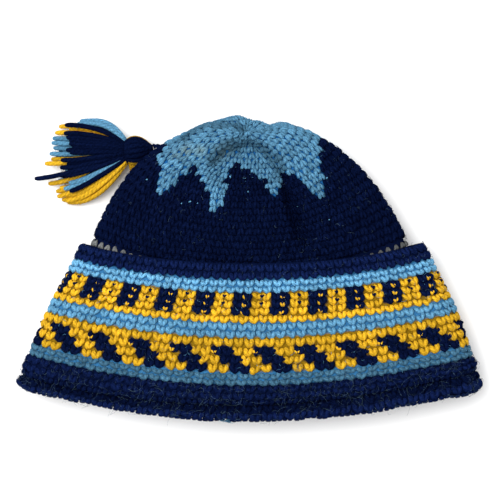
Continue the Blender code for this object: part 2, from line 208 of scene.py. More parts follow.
# Blue strands that show through the navy: place, and size as a share of a stitch.
# Columns: turn, round, size
FLECKS = (
    (0.110, 12.9, 0.22), (0.135, 15.5, 0.34), (0.147, 15.1, 0.34), (0.161, 15.0, 0.22),
    (0.209, 9.7, 0.34), (0.210, 11.2, 0.26), (0.206, 13.3, 0.36), (0.203, 14.3, 0.30),
    (0.235, 12.5, 0.30), (0.245, 12.5, 0.22), (0.253, 12.2, 0.28), (0.328, 9.8, 0.22),
    (0.382, 18.2, 0.22), (0.057, 15.2, 0.22), (0.412, 12.9, 0.26), (0.407, 14.2, 0.26),
    (0.338, 14.7, 0.20), (0.190, 17.3, 0.20), (0.590, 13.0, 0.30), (0.720, 13.2, 0.30),
    (0.840, 13.0, 0.30),
)
FLECK_RELIEF = 2.4

# Faint tan stains on the blue: place in metres, radius and strength.
# Columns: x, y, radius, strength
STAINS = (
    (-0.0397, 0.0758, 0.0040, 0.30),
    (-0.0306, 0.0752, 0.0036, 0.30),
    (-0.0470, 0.0725, 0.0030, 0.18),
    (-0.0160, 0.0745, 0.0060, 0.12),
)
STAIN_COLOUR = (0.24, 0.26, 0.12, 1.0)

# Where each round of the cuff ends: a share of the way down, and how deep it lies.
# Columns: round, share, inward
CUFF_EDGES = (
    (0.0, 0.000, 0.0000), (2.0, 0.102, 0.0000), (4.0, 0.181, 0.0000), (8.0, 0.371, 0.0000),
    (10.0, 0.465, 0.0000), (14.0, 0.687, 0.0000), (16.0, 0.764, 0.0000), (18.4, 0.885, 0.0002),
    (19.0, 0.908, 0.0034), (19.6, 0.932, 0.0002), (20.3, 0.962, -ROLL_SWELL),
    (20.9, 0.988, 0.0006), (21.4, 1.000, 0.0042), (22.0, 0.992, 0.0078),
    (22.7, 0.970, 0.0098), (24.0, 0.915, 0.0098),
)

# Colour of each round of the cuff from its free edge, by a letter for each stitch of the
# repeat: N navy, B light blue, Y yellow, G a yellow stitch with a navy gap to its left, D
# navy with a yellow dot showing through. Then the shade of the round, partly the yarn's own
# tone and partly painted light and shade: the round at the hem's groove is darkened as painted shade.
# Columns: stitches, shade
CUFF_CHART = (
    ("N", 3.5), ("N", 3.3), ("B", 2.1), ("B", 1.3),
    ("NDYG", -0.4), ("NDYG", -0.4), ("NDYY", -0.4), ("Y", -0.3),
    ("B", 0.3), ("B", -0.3),
    ("Y", -1.3), ("NGYD", -1.2), ("NNGY", -1.2), ("YNNY", -1.4),
    ("B", -3.5), ("B", -3.5),
    # On this line, the last round lies at the hem's groove and is darkened as painted shade
    ("N", 1.6), ("N", 1.8), ("N", 0.2), ("N", -2.4),
    ("N", 3.5), ("N", 3.4), ("N", 0.0), ("N", 0.0),
)
SPOTTED = {"G": "Y", "D": "N"}  # the stitch under each kind of spot
CUFF_STITCHES = 88
CUFF_SLANT = 0.125  # how many stitches each round lies to the left of the one above it
CUFF_START = 0.50  # how far the first round is shifted

# Dots and gaps of the cuff: how far each lies down, in rounds, and across, in stitches.
# Columns: name, yarn, down, across, size, relief
CUFF_SPOTS = {
    "D": ("cuff_yellow_dots", "Y", 0.10, -0.28, 0.56, 1.9),
    "G": ("cuff_navy_gaps", "N", -0.10, -0.50, 0.48, 3.0),
}

# One leg of a stitch from its point to its open end: where it runs, in shares of the
# stitch's width and height, and its size and its height off the fabric in millimetres.
# Columns: across, up, half_width, lift, half_thick
LEG = (
    (0.035, -0.56, 0.50, -0.25, 0.45),
    (0.100, -0.39, 1.08, 0.28, 0.90),
    (0.200, -0.10, 1.50, 0.60, 1.18),
    (0.290, 0.16, 1.46, 0.46, 1.08),
    (0.350, 0.38, 0.85, -0.15, 0.60),
)
LEG_SIDES = 6
STITCH_WIDTH = 5.8
STITCH_HEIGHT = 4.8

# How uneven the stitches are: spreads in shares of a stitch, in metres and in shades
LEAN_SPREAD = 0.09
WIDTH_MEAN = 0.98
WIDTH_SPREAD = 0.05
HEIGHT_SPREAD = 0.06
ACROSS_SPREAD = 0.03
UP_SPREAD = 0.04
LEG_SPREAD = 0.06  # of one leg against the other
LIFT_SPREAD = 0.00014
SHADE_SPREAD = 0.45
LEG_SHADE = 0.25

# Strands on top of the tassel's skirt: where each ends, in millimetres to the left of the
# neck and up the table from it, how high it lies, how it bows, and its colour.
# Columns: out, up, height, bow, colour
TOP_STRANDS = (
    (32.5, 20.6, 8.0, 3.6, "B"), (34.5, 18.4, 10.5, 3.4, "B"), (46.5, 16.8, 6.5, 3.0, "Y"),
    (42.0, 17.0, 13.0, 2.6, "N"), (42.5, 11.6, 14.5, 2.7, "N"), (49.0, 12.4, 7.5, 2.8, "Y"),
    (50.5, 8.4, 9.0, 2.4, "B"), (51.0, 5.4, 10.5, 2.2, "B"), (50.0, 2.2, 9.0, 2.2, "B"),
    (52.5, -1.4, 8.5, 2.0, "B"), (39.0, 6.6, 15.0, 2.4, "N"), (37.0, 2.6, 15.8, 2.0, "N"),
    (38.5, -0.8, 15.4, 1.9, "N"), (41.0, 8.8, 14.0, 2.6, "N"), (39.0, 4.6, 15.0, 2.2, "N"),
    (41.0, 0.8, 15.0, 2.0, "N"), (40.5, -8.0, 14.4, 1.8, "N"), (44.5, -5.6, 14.8, 1.8, "N"),
    (51.5, -4.8, 8.0, 1.9, "Y"), (45.0, -10.4, 14.2, 1.7, "N"), (55.5, -7.6, 9.5, 1.7, "Y"),
    (62.0, -17.4, 12.0, 1.5, "N"), (41.5, -15.2, 13.5, 1.6, "N"), (39.5, -20.2, 11.8, 1.5, "B"),
    (43.0, -24.0, 10.6, 1.4, "B"), (53.5, -20.5, 7.0, 1.5, "Y"), (48.5, -25.6, 6.5, 1.5, "Y"),
    (39.0, -25.6, 12.4, 1.35, "N"), (47.5, -29.0, 8.5, 1.4, "Y"), (44.5, -31.5, 7.0, 1.9, "Y"),
    (42.0, -32.0, 8.0, 1.6, "Y"), (41.0, -33.4, 5.6, 2.3, "Y"), (-5.5, -13.0, 6.5, 1.4, "Y"),
    (-2.2, -14.6, 5.0, 1.3, "Y"),
)
LOWER_HEIGHTS = (2.2, 5.0, 7.6)  # of the skirt's lower layers, in millimetres like the table
LOWER_SIDES = (17.0, -34.0)  # where the first and the last strand of a layer end, up the table
LOWER_REACH = 46.0  # how far out the middle strands end
LOWER_ROUNDING = 9.0  # how much less far out the first and the last one end
YELLOW_SIDE = 0.78  # share of the way across a layer beyond which its strands are yellow
ROUTE_POINTS = 34
TASSEL_NECK = (-0.0782, 0.0762, 0.0115)
TASSEL_TURN = -8.0  # degrees that the head leans from -X
HEAD_LENGTH = 0.0180
HEAD_WIDTH = 0.0190
HEAD_LOOPS = 15
HEAD_SHADE = -2.6
WINDING_TURNS = 3.2
WINDING_REACH = 0.0066
WINDING_LENGTH = 0.0040
WINDING_RADIUS = 0.0012
WINDING_SHADE = -2.8
FRAY_PER_STRAND = 16
FRAY_LENGTHS = (0.0006, 0.0018)
FRAY_RADIUS = 0.00008
ASKEW = np.array([0.13, 0.21, 1.0])  # a way that no strand runs, from which its ring is turned
STRAND_SHIFT = 0.0137  # how much later the plies start on each next strand of a piece
UPWARD = np.array([0.0, 0.0, 1.0])

# The cord from the head to the crown's centre, under the crown's edge, in metres
CORD_THICKNESS = 0.0036
CORD_POINTS = 90
CORD_TWISTS = 6
CORD_ROUTE = (
    (-0.0620, 0.0796, 0.0110), (-0.0590, 0.0798, 0.0060), (-0.0572, 0.0797, 0.0032),
    (-0.0535, 0.0804, 0.0021), (-0.0460, 0.0836, 0.0021), (-0.0370, 0.0880, 0.0021),
    (-0.0270, 0.0913, 0.0021), (-0.0180, 0.0935, 0.0024), (-0.0110, 0.0943, 0.0037),
    (-0.0060, 0.0943, 0.0051),
)

# Loose fibres: where they root, in rounds and in turns of the crown or the cuff, how many,
# and how long, how high in metres and how curly in radians each one is.
# Columns: name, yarn, fabric, first_round, last_round, first_turn, last_turn, count, length,
# lift, curl
FUZZ = (
    ("crown_fuzz", "N", "crown", 10.5, 24.0, 0.0, 1.0, 2900, 0.0030, 0.0013, 1.8),
    ("crown_pale_fuzz", "H", "crown", 9.5, 24.0, 0.0, 1.0, 420, 0.0034, 0.0012, 2.8),
    ("crown_star_fuzz", "B", "crown", 1.0, 10.5, 0.0, 1.0, 600, 0.0024, 0.0010, 1.8),
    ("cuff_top_fuzz", "N", "cuff", 0.0, 2.5, 0.0, 1.0, 900, 0.0030, 0.0012, 1.8),
    ("hem_fuzz", "N", "cuff", 15.8, 20.4, 0.0, 1.0, 2600, 0.0032, 0.0014, 1.8),
    ("roll_fuzz", "N", "cuff", 20.4, 22.0, 0.0, 1.0, 700, 0.0018, 0.0007, 1.8),
    ("cuff_pale_fuzz", "H", "cuff", 0.5, 20.4, 0.0, 1.0, 1300, 0.0040, 0.0013, 2.8),
    ("hem_pale_fuzz", "H", "cuff", 15.8, 21.2, 0.03, 0.47, 520, 0.0070, 0.0016, 1.7),
    ("stripe_fuzz", "B", "cuff", 2.0, 16.0, 0.0, 1.0, 600, 0.0026, 0.0011, 1.8),
    ("hem_tuft", "B", "cuff", 20.7, 21.5, 0.223, 0.230, 40, 0.0042, 0.0008, 8.0),
    ("pattern_tuft", "H", "cuff", 12.9, 14.1, 0.296, 0.303, 40, 0.0045, 0.0012, 8.0),
    ("left_corner_tuft", "H", "cuff", 18.0, 21.6, 0.003, 0.030, 70, 0.0040, 0.0016, 3.5),
    ("right_corner_tuft", "H", "cuff", 18.0, 21.6, 0.470, 0.497, 70, 0.0040, 0.0016, 3.5),
)
FIBRE_POINTS = 6
FIBRE_ROOT = 0.0006  # height above the fabric
FIBRE_SPREAD = 0.35  # of their lengths
FIBRE_LONGEST = 1.7  # times the usual length
FIBRE_LOOKS = {"N": (0.00009, 4.5), "B": (0.00009, 1.0), "H": (0.00005, -1.2)}  # radius, shade

# Colours: each shade makes a stitch lighter or darker than its yarn by one step
SHADE_STEP = 0.16
SHADE_LIMIT = 3.5
CROWN_SHADES = {"N": -1.9, "B": -1.4}
STRAND_SHADES = {"N": -2.3, "B": -1.0, "Y": -1.1}
# Painted shade: the stitches in the dent and its creases are darkened by up to this many steps
PAINTED_SHADE_STEPS = 3.2  # how many steps darker the creases are
# Painted shade in the gaps between the stitches: the ground there takes its yarn's colour times these shares
STAR_GAP_SHADE = (0.10, 0.32, 0.58)  # shares of the blue's channels between the star's stitches
STRIPE_GAP_SHADE = (0.30, 0.50, 0.66)
CROWN_NAVY_GAP_SHADE = 0.60
CUFF_NAVY_GAP_SHADE = 0.70
YELLOW_GAP_SHADE = 0.28
PLIES = 3
PLY_PITCH = 0.0100
FIBRE_SCALE = 1300.0
PATCH_SCALE = 55.0

YARN_NAMES = (("N", "navy"), ("B", "blue"), ("Y", "yellow"))
LAYER_KINDS = {1: ("FLOAT", "value"), 3: ("FLOAT_VECTOR", "vector"), 4: ("FLOAT_COLOR", "color")}
TABLE_CLEARANCE = 0.0002
GROUND_CLEARANCE = 0.00005
GROUND_DEPTH = 0.0006  # of the ground's outside below the fabric that carries the stitches

# The lights: where each stands, its share of the key light's power, and its size in metres.
# Columns: name, place, share, size
LAMPS = (
    ("key", (-0.75, 0.45, 1.7), 1.0, 1.3),
    ("top", (0.1, 0.1, 2.2), 0.5, 2.0),
)
FRAMED_HEIGHT = 0.03  # above the floor, where the picture is as wide as the frame width
FLOOR_REACH = 3.0


def run_of(line):
    """How far along an open line each of its points lies."""
    return np.concatenate([[0.0], np.cumsum(np.linalg.norm(np.diff(line, axis=0), axis=1))])


def unit(vectors):
    """The same directions with a length of one."""
    return vectors / np.maximum(np.linalg.norm(vectors, axis=-1, keepdims=True), 1e-12)


def through(table, at):
    """Each column of the table, read smoothly at these shares."""
    table = np.array(table)
    known = table[:, 0]
    slopes = np.gradient(table, known, axis=0)
    spot = np.clip(np.searchsorted(known, at, side="right") - 1, 0, len(known) - 2)
    step = (known[spot + 1] - known[spot])[:, None]
    part = (at - known[spot])[:, None] / step
    before, after = table[spot], table[spot + 1]
    rise = (2 * part**3 - 3 * part**2 + 1) * before
    rise += (part**3 - 2 * part**2 + part) * slopes[spot] * step
    rise += (3 * part**2 - 2 * part**3) * after
    rise += (part**3 - part**2) * slopes[spot + 1] * step
    return rise


def soft_step(value):
    """From 0 to 1 without a kink, and level outside."""
    value = np.clip(value, 0.0, 1.0)
    return value * value * (3 - 2 * value)


def between(value, start, end):
    """From 0 at the start to 1 at the end, smoothly."""
    return soft_step((value - start) / (end - start))


def half_round(side, middle, bow, fold):
    """One half of a round, from the left fold over the middle to the right fold."""
    across = np.sin(np.linspace(-np.pi / 2, np.pi / 2, FINE))
    sag = (1 - np.sqrt(1 - (bow * across) ** 2)) / (1 - np.sqrt(1 - bow**2))
    edge = fold / max(side[0], fold)
    beyond = np.clip((np.abs(across) - (1 - edge)) / edge, 0.0, 1.0)
    rounded = np.sqrt(1 - beyond**2)
    height = middle[1] - side[2]
    share = fold / max(height, fold)
    domed = np.maximum(1 - across**2, 0.0) ** DOME_POWER
    x = side[0] * across
    y = middle[0] + (side[1] - middle[0]) * sag
    z = side[2] + height * (share * rounded + (1 - share) * domed)
    return np.stack([x, y, z], axis=1)


def even_steps(line, count):
    """An open line as this many points at equal steps, its last point left out."""
    run = run_of(line)
    at = np.linspace(0.0, run[-1], count, endpoint=False)
    return np.stack([np.interp(at, run, line[:, k]) for k in range(3)], axis=1)


def rounds_of(table, shares, around):
    """Rings of points on the outside of the fabric. Half of each ring lies on the front."""
    rings = []
    for row in through(table, np.array(shares)):
        _, side_x, flare, side_y, side_z, front_y, front_z, back_y, back_z, bow, fold = row
        reach = (side_x * CROWN_WIDTH + flare * (HAT_WIDTH - CROWN_WIDTH)) / 2
        side = (reach, (side_y - 0.5) * HAT_LENGTH, side_z * LOFT)
        front = ((front_y - 0.5) * HAT_LENGTH, front_z * LOFT)
        back = ((back_y - 0.5) * HAT_LENGTH, back_z * LOFT)
        over = half_round(side, front, bow, fold * FOLD)
        under = half_round(side, back, bow, fold * FOLD)[::-1]
        rings.append(np.vstack([even_steps(over, around // 2), even_steps(under, around // 2)]))
    rings = np.array(rings)
    rings[..., 2] = np.maximum(rings[..., 2], 0.0)
    return rings


def moved_sides(rings, shares, table):
    """The rings with their folded sides moved by the table."""
    table = np.array(table)
    x = rings[..., 0]
    reach = np.maximum(np.abs(x).max(axis=1, keepdims=True), 1e-6)
    right = (x / reach + 1) / 2
    left_move = np.interp(shares, table[:, 0], table[:, 1])[:, None]
    right_move = np.interp(shares, table[:, 0], table[:, 2])[:, None]
    moved = rings.copy()
    moved[..., 0] = x + left_move * (1 - right) + right_move * right
    return moved


def crown_rounds(shares, around):
    """Rings of the crown with its sides moved and without its dents."""
    return moved_sides(rounds_of(CROWN_ROUNDS, shares, around), shares, CROWN_SIDES)


def cuff_rounds(shares, around):
    """Rings of the cuff with its sides moved, its top corners raised and its right end lowered."""
    rings = moved_sides(rounds_of(CUFF_ROUNDS, shares, around), shares, CUFF_SIDES)
    out = rings[..., 0] / np.abs(rings[..., 0]).max(axis=1, keepdims=True)
    down = np.asarray(shares)[:, None]
    rings[..., 1] += CORNER_RISE * np.abs(out) ** 6 * np.maximum(1 - 2 * down, 0.0)
    rings[..., 1] -= RIGHT_DROP * np.maximum(out, 0.0) ** 5 * down**3
    return rings


def away_from(x, y, line):
    """How far these places lie from an open line of points."""
    near = np.full(x.shape, 1.0)
    for (x0, y0), (x1, y1) in zip(line, line[1:]):
        step = np.array([x1 - x0, y1 - y0])
        part = ((x - x0) * step[0] + (y - y0) * step[1]) / (step @ step)
        part = np.clip(part, 0.0, 1.0)
        near = np.minimum(near, np.hypot(x - x0 - part * step[0], y - y0 - part * step[1]))
    return near


def dent_share(x, y):
    """How much of the dent's depth lies at these places, from 0 to 1."""
    ring = np.hypot(x - DENT_PLACE[0] * CROWN_WIDTH / 2, y - DENT_PLACE[1] * HAT_LENGTH / 2)
    return soft_step((DENT_RADIUS - ring) / DENT_SHOULDER)


def painted_hollow_shade(points):
    """How much painted shade darkens the dent and its creases at these places, from 0 to 1."""
    x, y, z = points[..., 0], points[..., 1], points[..., 2]
    share = DENT_PAINTED_SHADE * dent_share(x, y)
    share = share * between(y / (HAT_LENGTH / 2), *DENT_FADE)
    for _, half_width, dark, line in CREASES:
        share = share + dark * np.exp(-((away_from(x, y, line) / half_width) ** 2))
    return np.clip(share, 0.0, 1.0) * (z > LOFT / 4)


def dented(points):
    """The points moved by the hollow, the fold below it, the creases and the lobes along the top."""
    half_width, half_length = CROWN_WIDTH / 2, HAT_LENGTH / 2
    x, y, z = points[..., 0], points[..., 1], points[..., 2]
    across, up = x / half_width, y / half_length
    hollow = dent_share(x, y) * between(up, *DENT_FADE)
    below = np.clip((DENT_PLACE[1] - up) / (DENT_PLACE[1] / 2), 0.0, 2.0)
    right = x - (CREASE_PLACE + CREASE_BEND * below**1.5) * half_width
    crease = soft_step(right / CREASE_LIP + 0.5) * np.exp(-np.maximum(right, 0.0) / CREASE_SPREAD)
    crease = crease * between(up, *CREASE_FOOT) * between(up, *CREASE_HEAD)
    drop = between(z / LOFT, *FRONT_HEIGHTS) * (DENT_DEPTH * hollow + CREASE_DEPTH * crease)
    upper = between(z / LOFT, *CREASE_HEIGHTS)
    for depth, spread, _, line in CREASES:
        drop = drop + upper * depth * np.exp(-((away_from(x, y, line) / spread) ** 2))
    lobes = sum(rise * np.exp(-(((across - place) / spread) ** 2)) for place, spread, rise in LOBES)
    raised = np.clip((up - LOBE_FADE[0]) / (LOBE_FADE[1] - LOBE_FADE[0]), 0.0, 1.0)
    return np.stack([x, y + lobes * raised * HAT_LENGTH, z - drop], axis=-1)


def normals_of(grid):
    """Outward unit normals of rings of points, which close on themselves."""
    along = np.gradient(grid, axis=0)
    around = np.roll(grid, -1, axis=1) - np.roll(grid, 1, axis=1)
    normal = unit(np.cross(along, around))
    if np.ptp(grid[0], axis=0).max() < 0.001:  # the first ring is no more than a point
        normal[0] = unit(normal[2].mean(axis=0))
    return normal


def wander(values, seed):
    """Slow, smooth unevenness between -1 and 1 at these points."""
    chance = np.random.default_rng(seed)
    total = np.zeros(values.shape[:-1])
    for _ in range(WANDER_WAVES):
        wave = chance.normal(size=3) * WANDER_PITCH
        total = total + np.sin(values @ wave + chance.uniform(0, 6.28))
    return total / WANDER_WAVES


def grid_of(rows, around):
    """The row and the turn of each point of a grid, as two arrays."""
    return np.meshgrid(rows, np.arange(around) / around, indexing="ij")


class Fabric:
    """A crocheted surface, read by its round and by how far round it is, from 0 to 1."""

    def __init__(self, grid, fine):
        self.points = grid
        self.normals = normals_of(grid)
        self.fine = fine  # rings to each round

    def read(self, row, turn, lift=0.0):
        """Places at these rounds and turns, lifted off the fabric, and the outward ways there."""
        count, around = self.points.shape[:2]
        down = np.clip(np.asarray(row) * self.fine, 0, count - 1.001)
        across = (np.asarray(turn) % 1.0) * around
        r, k = down.astype(int), across.astype(int) % around
        dr, dk = (down - r)[..., None], (across - np.floor(across))[..., None]
        after = (k + 1) % around
        spot = 0.0
        facing = 0.0
        for ring, column, share in (
            (r, k, (1 - dr) * (1 - dk)),
            (r, after, (1 - dr) * dk),
            (r + 1, k, dr * (1 - dk)),
            (r + 1, after, dr * dk),
        ):
            spot = spot + share * self.points[ring, column]
            facing = facing + share * self.normals[ring, column]
        facing = unit(facing)
        return spot + np.asarray(lift)[..., None] * facing, facing


def crown_fabric():
    """The crown down to just inside the cuff, with its rounds at even steps."""
    shares = np.linspace(0.0005, CROWN_SHOWN, CROWN_RINGS)
    grid = dented(crown_rounds(shares, AROUND))
    even = np.empty((CROWN_ROWS * CROWN_FINE + 1, AROUND, 3))
    for k in range(AROUND):
        run = run_of(grid[:, k])
        at = np.linspace(0.0, run[-1], len(even))
        for axis in range(3):
            even[:, k, axis] = np.interp(at, run, grid[:, k, axis])
    uneven = wander(even, 3)[..., None] * normals_of(even) * UNEVEN
    return Fabric(even + uneven * (even[..., 2:] > LYING_FLAT), CROWN_FINE)


def cuff_fabric():
    """The cuff from its free edge to the hem, round the roll and a little way inside."""
    surface = Fabric(cuff_rounds(np.linspace(0.0, 1.0, CUFF_RINGS + 1), AROUND), CUFF_RINGS)
    edges = np.array(CUFF_EDGES)
    rows = np.linspace(0.0, edges[-1, 0], int(edges[-1, 0]) * CUFF_FINE + 1)
    row, turn = grid_of(rows, AROUND)
    share = np.interp(rows, edges[:, 0], edges[:, 1])[:, None]
    inward = through(CUFF_EDGES, rows)[:, 2][:, None]
    across = np.where(turn < 0.5, (turn - 0.25) * 4, (0.75 - turn) * 4)
    warp = between(row, *HEM_WARP_IN) * between(row, *HEM_WARP_OUT)
    share = share - warp * (HEM_WARP[0] + HEM_WARP[1] * across)
    grid, facing = surface.read(share, turn)
    grid = grid - facing * inward[:, None]
    grid = grid + facing * wander(grid, 5)[..., None] * UNEVEN
    grid[..., 1] += wander(grid * 1.7, 8) * HEM_WAVE * between(share, *HEM_WAVE_SHARES)
    grid[..., 2] = np.maximum(grid[..., 2], 0.0)
    return Fabric(grid, CUFF_FINE)


def stitches_in(fabric, row):
    """How many stitches of the usual width fill this round of the crown."""
    ring = fabric.points[int((row + 0.5) * fabric.fine)]
    girth = np.linalg.norm(np.roll(ring, -1, axis=0) - ring, axis=1).sum()
    return int(np.clip(round(girth / CROWN_STITCH), FIRST_STITCHES, STITCHES))


def cuff_turn(row, stitch):
    """How far round the cuff this place lies, counted in stitches of its round."""
    return (stitch + CUFF_START - CUFF_SLANT * row) / CUFF_STITCHES


def star_is_blue(fabric, row, turn):
    """Whether the crown is blue here: inside the star's corners, or on the back above its edge."""
    places, _ = fabric.read(row, turn)
    x, y = places[..., 0], places[..., 1]
    inside = np.zeros(x.shape, dtype=bool)
    for (x0, y0), (x1, y1) in zip(STAR_CORNERS, STAR_CORNERS[1:] + STAR_CORNERS[:1]):
        if y0 != y1:
            crosses = (y0 > y) != (y1 > y)
            inside = inside ^ (crosses & (x < x0 + (y - y0) * (x1 - x0) / (y1 - y0)))
    edge = np.array(STAR_BACK)
    back = row < np.interp(turn % 1.0, edge[:, 0], edge[:, 1])
    return np.where(turn % 1.0 < 0.5, inside, back)


def stained(points):
    """How strongly the stains tint these points."""
    total = np.zeros(len(points))
    for x, y, radius, strength in STAINS:
        away = np.hypot(points[:, 0] - x, points[:, 1] - y) / radius
        total = total + strength * np.exp(-(away**2)) * (points[:, 2] > LOFT / 2)
    return total


def tube_faces(count, around, closed=False):
    """Quads between rings of points, and triangles over the first and the last ring."""
    k = np.arange(around)
    after = (k + 1) % around
    quads = []
    for ring in range(count if closed else count - 1):
        low, high = ring * around, (ring + 1) % count * around
        quads.append(np.stack([low + k, low + after, high + after, high + k], axis=1))
    top = (count - 1) * around
    triangles = [(0, j + 1, j) for j in range(1, around - 1)]
    triangles += [(top, top + j, top + j + 1) for j in range(1, around - 1)]
    return np.vstack(quads), np.array(triangles)


def repeated(faces, count, each):
    """The faces of this many like forms, whose points follow each other."""
    return (faces[None] + (np.arange(count) * each)[:, None, None]).reshape(-1, faces.shape[1])


def add_mesh(name, points, quads, triangles, material, **layers):
    """A smooth mesh of these faces, with named layers of values at its points."""
    points = np.asarray(points, dtype=np.float32)
    mesh = bpy.data.meshes.new(name)
    mesh.vertices.add(len(points))
    mesh.vertices.foreach_set("co", points.ravel())
    corners = np.concatenate([np.ravel(quads), np.ravel(triangles)]).astype(np.int32)
    sizes = np.concatenate([np.full(len(quads), 4), np.full(len(triangles), 3)]).astype(np.int32)
    mesh.loops.add(len(corners))
    mesh.loops.foreach_set("vertex_index", corners)
    mesh.polygons.add(len(sizes))
    starts = np.concatenate([[0], np.cumsum(sizes)[:-1]]).astype(np.int32)
    mesh.polygons.foreach_set("loop_start", starts)
    mesh.polygons.foreach_set("use_smooth", np.ones(len(sizes), dtype=bool))
    mesh.update(calc_edges=True)
    mesh.validate()
    for layer_name, values in layers.items():
        values = np.asarray(values, dtype=np.float32)
        kind, field = LAYER_KINDS[values.size // len(points)]
        mesh.attributes.new(layer_name, kind, "POINT").data.foreach_set(field, values.ravel())
    piece = bpy.data.objects.new(name, mesh)
    bpy.context.scene.collection.objects.link(piece)
    mesh.materials.append(material)
    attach(piece, "root")
    return piece


def leg_pattern():
    """Points of both legs as (across, up, lift), where each lies on its strand, and faces."""
    leg = np.array(LEG)
    path = leg[:, :2] * (STITCH_WIDTH, STITCH_HEIGHT)
    ahead = unit(np.gradient(path, axis=0))
    run = 0.001 * run_of(path)
    points, strand = [], []
    for i, (_, _, half_width, lift, thick) in enumerate(leg):
        for angle in np.linspace(0, 2 * np.pi, LEG_SIDES, endpoint=False):
            reach = half_width * np.cos(angle)
            x = path[i, 0] + ahead[i, 1] * reach
            y = path[i, 1] - ahead[i, 0] * reach
            points.append((x / STITCH_WIDTH, y / STITCH_HEIGHT, lift + thick * np.sin(angle)))
            strand.append((np.cos(angle), np.sin(angle), run[i]))
    quads, triangles = tube_faces(len(leg), LEG_SIDES)
    points, strand = np.array(points), np.array(strand)
    mirror = np.array([-1, 1, 1])
    return (
        np.vstack([points, points * mirror]),
        np.vstack([strand, strand * mirror]),
        np.vstack([quads, quads[:, ::-1] + len(points)]),
        np.vstack([triangles, triangles[:, ::-1] + len(points)]),
    )


class Stitches:
    """Collects stitches of one colour and lays them on the fabric."""

    def __init__(self, fabric, upward, seed, height=1.0):
        self.fabric = fabric
        self.height = height  # as a share of a round
        self.upward = upward  # -1 where the stitches point down towards the hem
        self.chance = np.random.default_rng(seed)
        self.rows = []

    def add(self, row, turn, width, size=1.0, shade=0.0):
        """One stitch whose round and turn these are, as wide as this share of the way round."""
        self.rows.append((row, turn, width, size, shade))

    def build(self, name, letter, made, relief):
        """All the stitches as one piece, each a little uneven."""
        places = np.array(self.rows)
        pattern, strand, quads, triangles = leg_pattern()
        count, each = len(places), len(pattern)
        normal = self.chance.normal
        lean = normal(0, LEAN_SPREAD, (count, 1))
        wide = normal(WIDTH_MEAN, WIDTH_SPREAD, (count, 1))
        tall = self.height * normal(1.0, HEIGHT_SPREAD, (count, 1))
        across = pattern[None, :, 0] * wide + lean * pattern[None, :, 1]
        across = across + normal(0, ACROSS_SPREAD, (count, 1))
        up = pattern[None, :, 1] * tall + normal(0, UP_SPREAD, (count, 1))
        up = up + normal(0, LEG_SPREAD, (count, 1)) * np.sign(pattern[None, :, 0])
        size = places[:, 3:4]
        lift = pattern[None, :, 2] * 0.001 * relief * size
        lift = lift + normal(0, LIFT_SPREAD, (count, 1))
        turn = places[:, 1:2] + across * places[:, 2:3] * size
        row = places[:, 0:1] + 0.5 + self.upward * up * size
        points, _ = self.fabric.read(row, turn, lift)
        points[..., 2] = np.maximum(points[..., 2], TABLE_CLEARANCE)
        points = points.reshape(-1, 3)
        shade = places[:, 4:5] + normal(0, SHADE_SPREAD, (count, 1))
        middle, _ = self.fabric.read(places[:, 0] + 0.5, places[:, 1])
        # Painted shade: darken the stitches in the dent and along its creases
        shade = shade - PAINTED_SHADE_STEPS * painted_hollow_shade(middle)[:, None]
        shade = shade + LEG_SHADE * np.sign(pattern[None, :, 0]) * normal(0, 1, (count, 1))
        if self.upward < 0:
            quads, triangles = quads[:, ::-1], triangles[:, ::-1]
        piece = add_mesh(
            name,
            points,
            repeated(quads, count, each),
            repeated(triangles, count, each),
            made[letter],
            shade=np.clip(shade, -SHADE_LIMIT, SHADE_LIMIT).ravel(),
            strand=np.tile(strand, (count, 1)),
            stain=stained(points),
        )


def sweep(routes, radius, sides):
    """Round strands along routes of as many points each: points, faces and their strand."""
    count, length = routes.shape[:2]
    ahead = unit(np.gradient(routes, axis=1))
    first = unit(np.cross(ahead, ASKEW))
    second = np.cross(first, ahead)
    steps = np.linalg.norm(np.diff(routes, axis=1), axis=2)
    run = np.concatenate([np.zeros((count, 1)), np.cumsum(steps, axis=1)], axis=1)
    turn = np.linspace(0, 2 * np.pi, sides, endpoint=False)
    reach = np.broadcast_to(np.asarray(radius), (count, length))[:, :, None, None]
    ring = np.cos(turn)[None, None, :, None] * first[:, :, None, :]
    ring = ring + np.sin(turn)[None, None, :, None] * second[:, :, None, :]
    points = routes[:, :, None, :] + reach * ring
    strand = np.empty((count, length, sides, 3))
    strand[..., 0] = np.cos(turn)
    strand[..., 1] = np.sin(turn)
    strand[..., 2] = run[:, :, None] + np.arange(count)[:, None, None] * STRAND_SHIFT
    quads, triangles = tube_faces(length, sides)
    quads = repeated(quads[:, ::-1], count, length * sides)
    triangles = repeated(triangles[:, (0, 2, 1)], count, length * sides)
    return points.reshape(-1, 3), quads, triangles, strand.reshape(-1, 3)


def add_strands(name, routes, radius, letter, made, shades, sides=8):
    """A piece of round strands, one shade for each."""
    routes = np.array(routes)
    points, quads, triangles, strand = sweep(routes, radius, sides)
    points[:, 2] = np.maximum(points[:, 2], TABLE_CLEARANCE)
    shade = np.repeat(np.broadcast_to(shades, len(routes)), len(points) // len(routes))
    piece = add_mesh(name, points, quads, triangles, made[letter], shade=shade, strand=strand)
    return piece


def add_ground(name, outer, inner, tone_outer, tone_inner, made, closed):
    """A closed piece of fabric between an outer and an inner grid of points."""
    rings = np.concatenate([outer, inner[::-1]])
    tones = np.concatenate([tone_outer, tone_inner[::-1]])
    quads, _ = tube_faces(*rings.shape[:2], closed)
    points = rings.reshape(-1, 3)
    points[:, 2] = np.maximum(points[:, 2], GROUND_CLEARANCE)
    none = np.zeros((0, 3), int)
    piece = add_mesh(name, points, quads[:, (0, 3, 2, 1)], none, made["ground"], tone=tones.reshape(-1, 4))
    return piece


